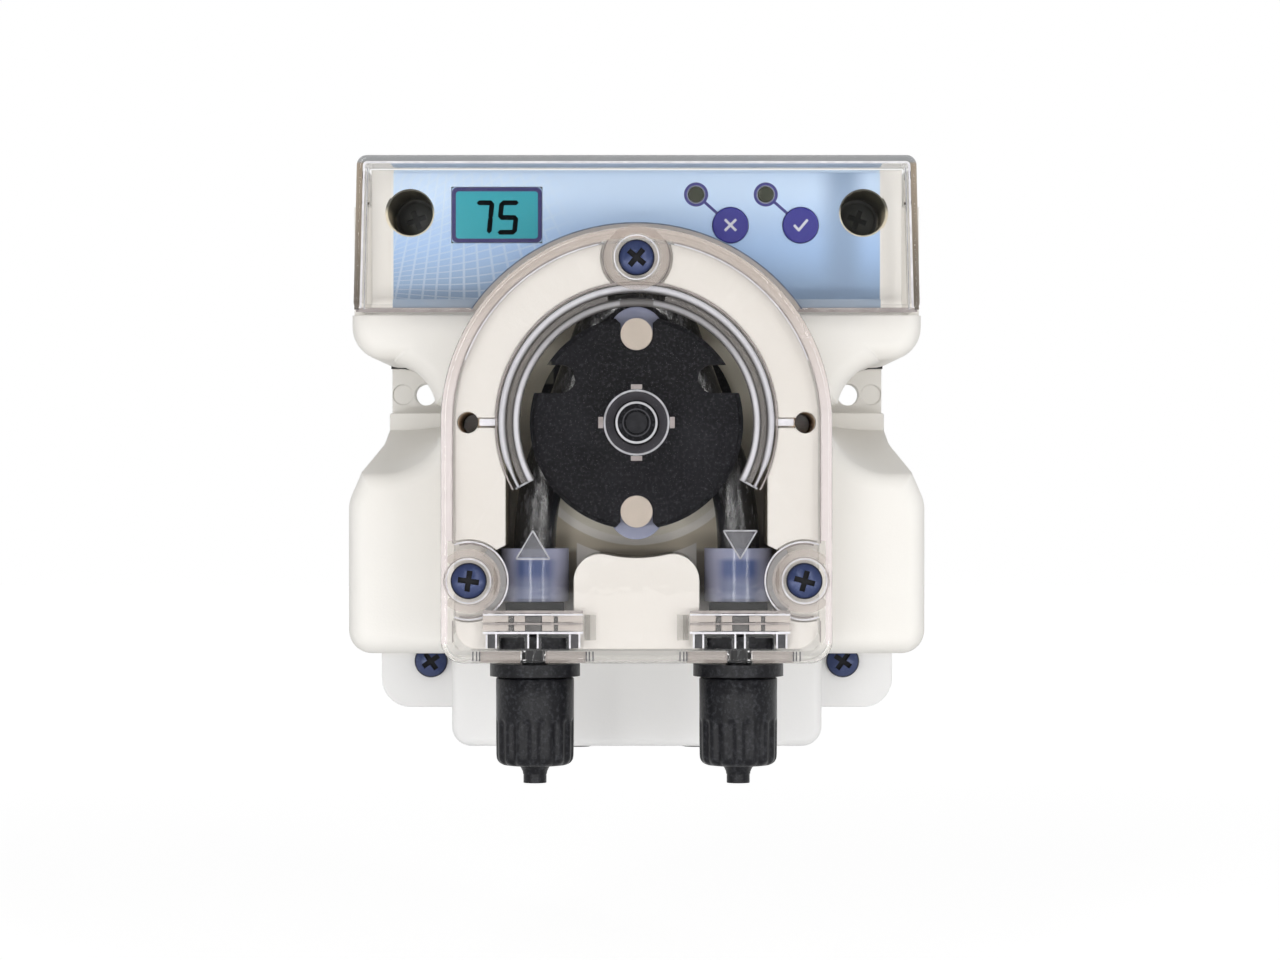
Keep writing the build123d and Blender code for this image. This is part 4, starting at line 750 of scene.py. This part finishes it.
port_x = 19.4
guard_end = 28.6  # degrees below horizontal
over_top = (-guard_end, 180 + guard_end)
outer_bead, inner_bead = 25.25, 22.65
rim_x = 34.45
windows = (-7.8, 0.0, 7.8)
window_foot, window_head = -42.3, -39.3
arrow, arrow_z = np.array([(-3.2, 2.7), (3.2, 2.7), (0.0, -2.7)]), -22.9

taper = np.clip(np.minimum(np.arange(80), np.arange(80)[::-1]) / 5.0, 0.35, 1.0)
bands = [carry(bead(1.6, 0.9, 85.2), arc(outer_bead, *over_top), widths=taper),
         carry(bead(1.5, 0.9, 85.0), arc(inner_bead, *over_top))]
piece = add_piece("guard_light", *together(bands), guard_light(), "root")

# Lines of light over the arch, round the top pad and the hub, and along the guard.
white, grey, brown, dark = [], [], [], []
for start, end in ((20, 78), (102, 160)):
    white.append(carry(strip(0.2, 0.2, 88.6), arc(34.15, start, end)))
white.append(hoop(0.2, 0.2, 88.4, 4.15, 0, top_screw_z))
grey.append(hoop(0.36, 0.3, 89.45, 6.0))
grey += [bar(0.2, 0.4, 85.0, (x, 21.9), (x, 23.3)) for x in (-3.1, 3.1)]
right_rim = np.vstack([[(rim_x, -22.6)], arc(rim_x, 0, 79)])
brown += [carry(strip(0.25, 0.3, 88.2), line) for line in (right_rim, mirrored(right_rim))]
brown.append(carry(strip(0.3, 0.2, 86.3), arc(26.4, *over_top)))
brown.append(carry(strip(0.25, 0.3, 85.0), arc(6.3, -214, 34, 0, top_screw_z)))
for turn in np.radians((0, 90, 180, 270)):
    ray = np.array([cos(turn), sin(turn)])
    brown.append(bar(2.1, 0.3, 89.3, ray * 6.25, ray * 7.15))

# The same on each side: the guard's end, the pads round the screws, the windows over the port, and the
# outline of the flow arrow.
for side in (-1, 1):
    middle = side * port_x
    tip = np.array([side * cos(radians(guard_end)), -sin(radians(guard_end))])
    grey.append(bar(0.35, 0.5, 84.9, tip * 22.1, tip * 25.9))
    brown.append(bar(0.25, 0.3, 88.2, (side * rim_x, -41.2), (side * rim_x, -37.1)))
    for gap in (10.0, 10.55, 11.25):
        dark += [bar(0.26, 0.2, 88.3, (x, -44.6), (x, -42.9)) for x in (middle - gap, middle + gap)]
    for x in (windows[0], windows[-1]):
        dark.append(bar(1.4, 0.2, 88.0, (middle + x, window_foot), (middle + x, -39.7)))
    brown.append(hoop(0.2, 0.3, 88.3, 4.5, side * pad_x, pad_z))
    white.append(hoop(0.2, 0.3, 88.2, 4.15, side * pad_x, pad_z))
    white.append(bar(1.3, 0.3, 85.4, (side * 26.2, 0.1), (side * 29.5, 0.1)))
    pads = [arc(radius, bend, -bend, -pad_x, pad_z) for radius, bend in ((7.32, 112), (6.95, 105))]
    pads = pads if side < 0 else [mirrored(pad) for pad in pads]
    white.append(carry(strip(0.3, 0.4, 85.2), pads[0]))
    brown.append(carry(strip(0.3, 0.3, 84.6), pads[1]))
    for lines, height, thick in ((white, -35.97, 0.3), (white, -39.38, 0.42), (brown, -35.45, 0.5),
                                 (brown, -37.68, 0.3)):
        lines.append(bar(thick, 0.2, 88.8, (middle - 9.4, height), (middle + 9.4, height)))
    for window in windows:
        for wall in (-0.9, 0.9):
            x = middle + window + wall
            white.append(bar(0.32, 0.3, 88.3, (x, window_foot), (x, window_head)))
    corners = arrow * (0.98, 0.98 * side) + (middle, arrow_z)
    for first, second in zip(corners, np.roll(corners, -1, 0)):
        grey.append(bar(0.26, 0.2, 89.3, first, second))
lit_edge = light_in_plastic("lit_edge", (0.64, 0.63, 0.67), (0.82, 0.81, 0.85))
grey_edge = light_in_plastic("grey_edge", (0.28, 0.28, 0.30), (0.46, 0.46, 0.49))
brown_edge = light_in_plastic("brown_edge", (0.24, 0.21, 0.20), (0.34, 0.30, 0.29))
inlay("cover_light", white, lit_edge)
inlay("cover_edges", grey, grey_edge)
inlay("cover_corners", brown, brown_edge)
# Painted shade: dark inlays in the slots of the lower wall and in the outer windows.
inlay("cover_gaps", dark, light_in_plastic("dark_edge", (0.02, 0.02, 0.024), (0.06, 0.058, 0.065)))

# Films of painted light and shade: beside the guard, in the arrows, over windows and sill, on the pads.
beside_ends = (-guard_end, 77), (103, 180 + guard_end)
beside = [carry(strip(1.1, 0.2, 84.3), arc(23.9, *ends)) for ends in beside_ends]
rings = [hoop(1.5, 0.2, 88.1, 5.35, 0, top_screw_z)]
arrows, bars, sill, shadow, bar_end_shadows, crescents = [], [], [], [], [], []
for side in (-1, 1):
    middle = side * port_x
    flat = arrow * (0.88, 0.88 * side) + (middle, arrow_z)
    arrows.append(prism(flat * mm, 89.0 * mm, 89.1 * mm))
    for left, right in ((-9.4, -4.6), (-3.5, -1.5), (1.7, 3.9), (4.7, 9.4)):
        for wide, height in ((1.2, -36.8), (1.1, -38.45)):
            bars.append(bar(wide, 0.2, 88.5, (middle + left, height), (middle + right, height)))
    for x, wide, depth, top in ((0.0, 3.0, 88.3, -36.3), (-4.05, 0.8, 88.35, -36.4),
                                (4.3, 0.8, 88.35, -36.4)):
        shadow.append(bar(wide, 0.2, depth, (middle + x, -39.1), (middle + x, top)))
    # Painted shadow, soft and wide, beside the inner end of each clamp bar.
    for inward, wide in ((10.2, 1.0), (10.7, 2.2)):
        x = middle - side * inward
        bar_end_shadows.append(bar(wide, 0.15, 88.3 - wide / 5, (x, -40.8), (x, -36.0)))
    crescent = arc(6.2, 60, -60, -pad_x, pad_z)
    crescents.append(carry(strip(1.5, 0.2, 84.9), crescent if side < 0 else mirrored(crescent)))
    ring = arc(5.35, -138, 138, -pad_x, pad_z)
    rings.append(carry(strip(1.4, 0.2, 88.1), ring if side < 0 else mirrored(ring)))
    for left, right in ((-10.0, -2.4), (2.3, 10.0)):
        sill.append(bar(2.0, 0.2, 88.0, (middle + left, -43.9), (middle + right, -43.9)))
for name, shapes, low_colour, high_colour, alpha in (
        ("guard_film", beside, (0.26, 0.24, 0.23), (0.22, 0.20, 0.19), 0.5),
        ("arrow_film", arrows, (0.10, 0.105, 0.13), (0.10, 0.105, 0.13), 0.5),
        ("bar_film", bars, (0.66, 0.59, 0.54), (0.70, 0.63, 0.58), 0.6),
        ("sill_film", sill, (0.26, 0.21, 0.18), (0.30, 0.25, 0.21), 0.45),
        ("shadow_film", shadow, (0.05, 0.046, 0.042), (0.05, 0.046, 0.042), 0.6),
        ("haze_film", bar_end_shadows, (0.16, 0.145, 0.11), (0.16, 0.145, 0.11), 0.17),
        ("pad_film", crescents, (0.36, 0.35, 0.35), (0.36, 0.35, 0.35), 0.8),
        ("ring_film", rings, (0.52, 0.44, 0.39), (0.46, 0.38, 0.33), 0.3)):
    inlay(name, shapes, tint_in_plastic(name, low_colour, high_colour, alpha))

# The cover's rim, rosy at the sides and browner over the arch. It narrows beside the lower screws.
pads_top = -22.2
over_arch = np.vstack([[(35.55, pads_top)], arc(35.55, 0, 180), [(-35.55, pads_top)]])
rim = [carry(strip(1.9, 0.2, 88.25), over_arch)]
rim += [bar(1.1, 0.2, 88.25, (side * 35.95, -41.5), (side * 35.95, pads_top)) for side in (-1, 1)]
rim_colours = (0.90, 0.80, 0.82), (0.60, 0.49, 0.42)
inlay("rim_film", rim, tint_in_plastic("rim_film", *rim_colours, 0.35, -5.0, 30.0))


# -------------------- light in the lid's walls
# The lid's walls stand on edge behind its front, so they look taupe at the sides and grey along the top,
# with a white line inside them where the front turns into the wall. The upper wall mirrors the label, so a
# film of the label's blue lies just under it.
lid_top_half, lid_low_half, lid_foot, lid_head = 54.0, 54.7, 22.2, 52.0
lid_bottom = 21.6  # where the lid is widest


def lid_line(inset):
    """Up the lid's left wall, along the top and down the right wall, inset from the outside."""
    top = lid_head - inset
    lean = (lid_low_half - lid_top_half) / (lid_head - lid_bottom)
    bend = max(2.0 - inset, 0.3)
    right = lid_low_half - lean * (lid_foot - lid_bottom) - inset
    corner = arc(bend, 0, 90, lid_top_half - inset - bend + 0.02, top - bend)
    half = np.vstack([[(right, lid_foot)], corner])
    return np.vstack([half, half[::-1] * (-1, 1)])


def lid_wall_film():
    finish = Finish("lid_wall_film")
    _, _, z = finish.here()
    colour = finish.mix(z.step(22.0, 50.0), (0.055, 0.036, 0.016), (0.27, 0.21, 0.145))
    colour = finish.mix(z.step(50.2, 50.8), colour, (0.25, 0.265, 0.28))
    colour = finish.mix(finish.noise(200.0, 3.0) * 0.25, colour, (0.40, 0.37, 0.33))
    return finish.painted(colour=colour, rough=0.5, alpha=0.94)


blue = [bar(1.9, 0.2, 66.6, (side * 29.4, 23.2), (side * 47.1, 23.2)) for side in (-1, 1)]
blue_film = tint_in_plastic("lid_blue_film", (0.22, 0.29, 0.39), (0.24, 0.32, 0.43), 0.85)
low_x, top_x = lid_low_half - 2.1, lid_top_half - 2.1
upright = [bar(0.2, 0.2, 67.2, (side * low_x, lid_foot), (side * top_x, 49.6)) for side in (-1, 1)]
foot = [bar(0.8, 0.2, 67.0, (side * 30.0, 22.1), (side * 54.2, 22.1)) for side in (-1, 1)]
under_top = [bar(0.2, 7.6, 62.4, (-47.4, 50.32), (47.4, 50.32))]
top_film = tint_in_plastic("lid_top_film", (0.50, 0.62, 0.80), (0.50, 0.62, 0.80), 0.8)
arch = [carry(strip(1.1, 0.2, 67.1), arc(38.25, 35.5, 144.5))]
arch_film = tint_in_plastic("lid_arch_film", (0.50, 0.46, 0.44), (0.56, 0.50, 0.45), 0.7)
# Painted shadow: a dark line in the gap round the lid's arch, next to the cover's rim.
arch_edge = [carry(strip(0.22, 0.3, 67.2), arc(38.9, 35.0, 145.0))]
blue_edge = light_in_plastic("blue_edge", (0.07, 0.09, 0.15), (0.14, 0.18, 0.27))
inlay("lid_film", [carry(strip(0.95, 1.2, 66.5, 0.02), lid_line(0.62))], lid_wall_film(), "lid")
inlay("lid_blue_film", blue, blue_film, "lid")
inlay("lid_light", [carry(strip(0.36, 0.2, 66.95), lid_line(1.42))], lit_edge, "lid")
inlay("lid_edges", upright, grey_edge, "lid")
inlay("lid_corners", foot, brown_edge, "lid")
inlay("lid_top_film", under_top, top_film, "lid")
inlay("lid_arch_film", arch, arch_film, "lid")
inlay("lid_arch_edge", arch_edge, blue_edge, "lid")


# -------------------- pump tube and hose connectors
# Black elastomer tube, two blue-grey clamping sleeves, and black glass-filled connectors with union nuts.
# The nuts' ribs and the nozzles' flared tips are cut finer here than in the solid parts.
def tube_rubber():
    """Smooth black elastomer, greasy from the rollers, with fine scuffs along it."""
    finish = Finish("tube_rubber")
    scuff = finish.noise(900.0, 4.0, 0.65, finish.drawn_out(0.25))
    colour = finish.mix(scuff.step(0.45, 0.8), (0.010, 0.010, 0.011), (0.10, 0.10, 0.106))
    normal = finish.bump(scuff, 0.00012)
    return finish.painted(colour=colour, rough=0.2, gloss=0.9, normal=normal)


coat_nodes(tube_rubber(), "pump_tube")


def sleeve_plastic():
    """Translucent blue-grey nylon with painted light and shade: a pale sheen at its lip and its sides,
    deeper blue in the middle, and darkest high in the middle and along its lower edge.
    """
    finish = Finish("sleeve_plastic")
    x, _, z = finish.here()
    pale = finish.mix(finish.noise(300.0, 2.0), (0.22, 0.24, 0.35), (0.29, 0.31, 0.44))
    deep = finish.mix(z.step(-30.5, -28.0), (0.155, 0.18, 0.29), (0.07, 0.10, 0.23))
    colour = finish.mix(z.step(-25.2, -26.4), pale, deep)
    colour = finish.mix(z.step(-32.9, -33.5), colour, (0.07, 0.085, 0.15))
    side = abs(abs(x) - port_x).step(2.2, 4.8)
    colour = finish.mix(side * 0.85, colour, (0.38, 0.39, 0.52))
    return finish.painted(colour=colour, rough=0.15, gloss=0.7, normal=finish.soft_edges(0.0003))


coat_nodes(sleeve_plastic(), "suction_sleeve", "discharge_sleeve")


def black_plastic():
    """Glass-filled nylon: pale fibre flecks in a matt black, and painted shade above, inside the pump
    head.
    """
    finish = Finish("black_plastic")
    fleck = finish.noise(1300.0, 3.0, 0.7).step(0.46, 0.7)
    _, _, z = finish.here()
    shade = z.step(-37.5, -35.0)
    colour = finish.mix(fleck, (0.004, 0.004, 0.006), (0.03, 0.031, 0.036))
    colour = finish.mix(shade, colour, (0.002, 0.002, 0.002))
    normal = finish.bump(finish.noise(1100.0, 3.0, 0.65), 0.00007, finish.soft_edges(0.0002))
    rough = 0.34 + 0.1 * fleck + 0.5 * shade
    return finish.painted(colour=colour, rough=rough, gloss=0.2, normal=normal)


black_nylon = black_plastic()
coat_nodes(black_nylon, "suction_connector", "discharge_connector", "suction_ring", "discharge_ring",
           "suction_nut", "discharge_nut")


def turned(outline, x, depth, ribs=0.0):
    """A closed outline of (radius, z, grip) points turned round an upright axis. Each radius drops by its
    grip times a wave of broad ribs, whose valleys differ a little in depth."""
    outline = np.asarray(outline, float)
    turn_count, rib_count = 192, 16
    turn = np.linspace(0, 2 * pi, turn_count, endpoint=False)[:, None]
    wave = (0.5 - 0.5 * np.cos(rib_count * turn)) ** 1.6 * (0.85 + 0.15 * np.sin(3 * turn + 1.0))
    radius = outline[None, :, 0] - ribs * outline[None, :, 2] * wave
    height = np.broadcast_to(outline[:, 1], radius.shape)
    points = np.dstack([x + radius * np.cos(turn), -depth + radius * np.sin(turn), height]) * mm
    index = np.arange(radius.size).reshape(radius.shape)
    next_turn, next_row = np.roll(index, -1, 0), np.roll(index, -1, 1)
    quads = np.dstack([index, next_row, np.roll(next_row, -1, 0), next_turn])
    return points.reshape(-1, 3), quads.reshape(-1, 4).tolist()


tube_depth = 75.0
rib_depth = 0.55
crease = radians(38)
nut_outside = [(7.1, -48.42, 0), (7.3, -48.45, 0), (7.45, -48.7, 0), (7.42, -52.0, 0),
               (7.42, -55.9, 0), (7.43, -56.3, 0.25), (7.43, -56.7, 0.75), (7.43, -57.2, 1),
               (7.41, -60.0, 1), (7.38, -62.9, 1)]
nut_foot = [(7.35 - 1.7 * (1 - cos(turn)), -63.4 - 1.7 * sin(turn), cos(turn))
            for turn in np.linspace(0, pi / 2, 7)]
nut_inside = [(3.3, -65.1, 0), (3.3, -62.7, 0), (5.5, -62.7, 0), (5.5, -48.42, 0)]
nut_outline = nut_outside + nut_foot + nut_inside
flare = [(2.1, -65.0, 0), (2.1, -66.8, 0), (2.28, -66.8, 0), (2.36, -66.3, 0), (2.7, -65.6, 0),
         (3.0, -65.3, 0), (3.1, -65.0, 0)]
for name, x in (("suction", -port_x), ("discharge", port_x)):
    piece = add_piece(name + "_grip_nut", *turned(nut_outline, x, tube_depth, rib_depth),
                      black_nylon, name + "_nut_body")
    piece.data.set_sharp_from_angle(angle=crease)
    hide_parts(name + "_nut")
    piece = add_piece(name + "_nozzle_flare", *turned(flare[::-1], x, tube_depth), black_nylon, "root")
    piece.data.set_sharp_from_angle(angle=crease)


# -------------------- rotor
# Matt black rotor of glass-filled nylon, worn paler in clouds. Round its hub, under the cover's clear
# bush, a ring of painted highlight and a band of painted light make it paler, and painted light makes its
# body olive grey where its notch lies open. Its rollers are hard blue-grey plastic on beige acetal pins.
def rotor_plastic():
    finish = Finish("rotor_plastic")
    x, depth, z = finish.here()
    away = distance(x, z)
    cloud = finish.noise(70.0, 4.0, 0.6).step(0.4, 0.75)
    fleck = finish.noise(1500.0, 3.0, 0.7).step(0.48, 0.72)
    colour = finish.mix(cloud, (0.003, 0.003, 0.005), (0.011, 0.011, 0.014))
    shade = finish.noise(38.0, 2.0).step(0.42, 0.62)
    colour = finish.mix(shade * 0.6, colour, (0.002, 0.002, 0.003))
    colour = finish.mix(fleck * 0.6, colour, (0.045, 0.045, 0.052))
    front = depth.step(87.0, 88.0)
    # Painted light: under the cover's clear hub the rotor is painted paler.
    under_hub = away.step(4.2, 4.4) * away.step(5.9, 5.7) * depth.step(80.0, 81.0)
    colour = finish.mix(under_hub, colour, (0.055, 0.053, 0.062))
    # Painted light: where the notch lies open, the rotor's body takes the olive grey of the chamber floor.
    open_notch = x.step(-15.8, -16.2) * z.step(7.5, 8.0) * z.step(11.8, 11.4) * depth.step(84.0, 83.0)
    colour = finish.mix(open_notch, colour, (0.15, 0.147, 0.125))
    tool_mark = away.step(2.35, 2.45) * away.step(2.7, 2.6) * front
    colour = finish.mix(tool_mark * 0.5, colour, (0.10, 0.10, 0.11))
    # Painted highlight: a bright ring at the edge of the cover's bush.
    hub_highlight = away.step(3.5, 3.6) * away.step(4.2, 4.05) * front
    colour = finish.mix(hub_highlight * (0.7 + 0.3 * cloud), colour, (0.66, 0.66, 0.69))
    normal = finish.bump(finish.noise(1000.0, 3.0, 0.65), 0.00008, finish.soft_edges(0.0003))
    return finish.painted(colour=colour, rough=0.6, gloss=0.12, normal=normal)


roller_plastic = plain("roller_plastic", (300.0, 2.0), (0.19, 0.21, 0.32), (0.27, 0.29, 0.41),
                       edges=0.0002, rough=0.35)
pin_plastic = plain("pin_plastic", (500.0, 3.0), (0.43, 0.375, 0.32), (0.50, 0.43, 0.37),
                    grain=(1500.0, 0.00002), rough=0.5)
coat_nodes(rotor_plastic(), "rotor_body", "rotor_plate")
coat_nodes(roller_plastic, "roller_upper", "roller_lower")
coat_nodes(pin_plastic, "roller_pins")


# -------------------- gear train and motor
# Steel plates, pillars, shafts and motor can, natural acetal gears, sintered bronze bushes and pinion.
# They sit inside the housings. Only the tip of the drive shaft shows, deep in the rotor's hub.
def plain_steel():
    finish = Finish("steel")
    brushed = finish.noise(180.0, 4.0, 0.6, finish.drawn_out(14.0))
    colour = finish.mix(brushed, (0.42, 0.42, 0.43), (0.62, 0.62, 0.63))
    normal = finish.bump(brushed, 0.00002, finish.soft_edges(0.00015))
    return finish.painted(colour=colour, rough=0.28 + 0.15 * brushed, metal=1.0, normal=normal)


def bronze():
    finish = Finish("brass")
    grain = finish.noise(900.0, 4.0)
    colour = finish.mix(grain, (0.50, 0.32, 0.12), (0.66, 0.46, 0.20))
    normal = finish.bump(grain, 0.00002)
    return finish.painted(colour=colour, rough=0.35, metal=1.0, normal=normal)


def shaft_steel():
    """Ground steel. Its front end sits deep in the bush, where painted shade makes it nearly black
    and not metallic.
    """
    finish = Finish("shaft_steel")
    _, depth, _ = finish.here()
    grain = finish.noise(900.0, 3.0)
    black = depth.step(79.0, 80.0)
    colour = finish.mix(grain, (0.45, 0.45, 0.46), (0.60, 0.60, 0.61))
    colour = finish.mix(black, colour, finish.mix(grain, (0.008, 0.008, 0.010), (0.03, 0.03, 0.034)))
    rough = 0.35 + 0.3 * black
    normal = finish.bump(grain, 0.00002)
    return finish.painted(colour=colour, rough=rough, metal=1 - black, gloss=0.15, normal=normal)


gear_plastic = plain("gear_plastic", (200.0, 3.0), (0.70, 0.68, 0.62), (0.78, 0.76, 0.70),
                     edges=0.00012, rough=0.4)
coat_nodes(shaft_steel(), "drive_shaft")
coat_nodes(plain_steel(), "board_screws", "idler_pins", "gear_plate_front", "gear_plate_back",
           "gear_pillars", "gearbox_screws", "motor_can", "motor_shaft", "motor_screws",
           "power_board_screws", "motor_armature", "motor_magnets")
coat_nodes(bronze(), "output_bushes", "motor_pinion")
coat_nodes(gear_plastic, "output_gear", "idler_gear_b", "idler_gear_a")
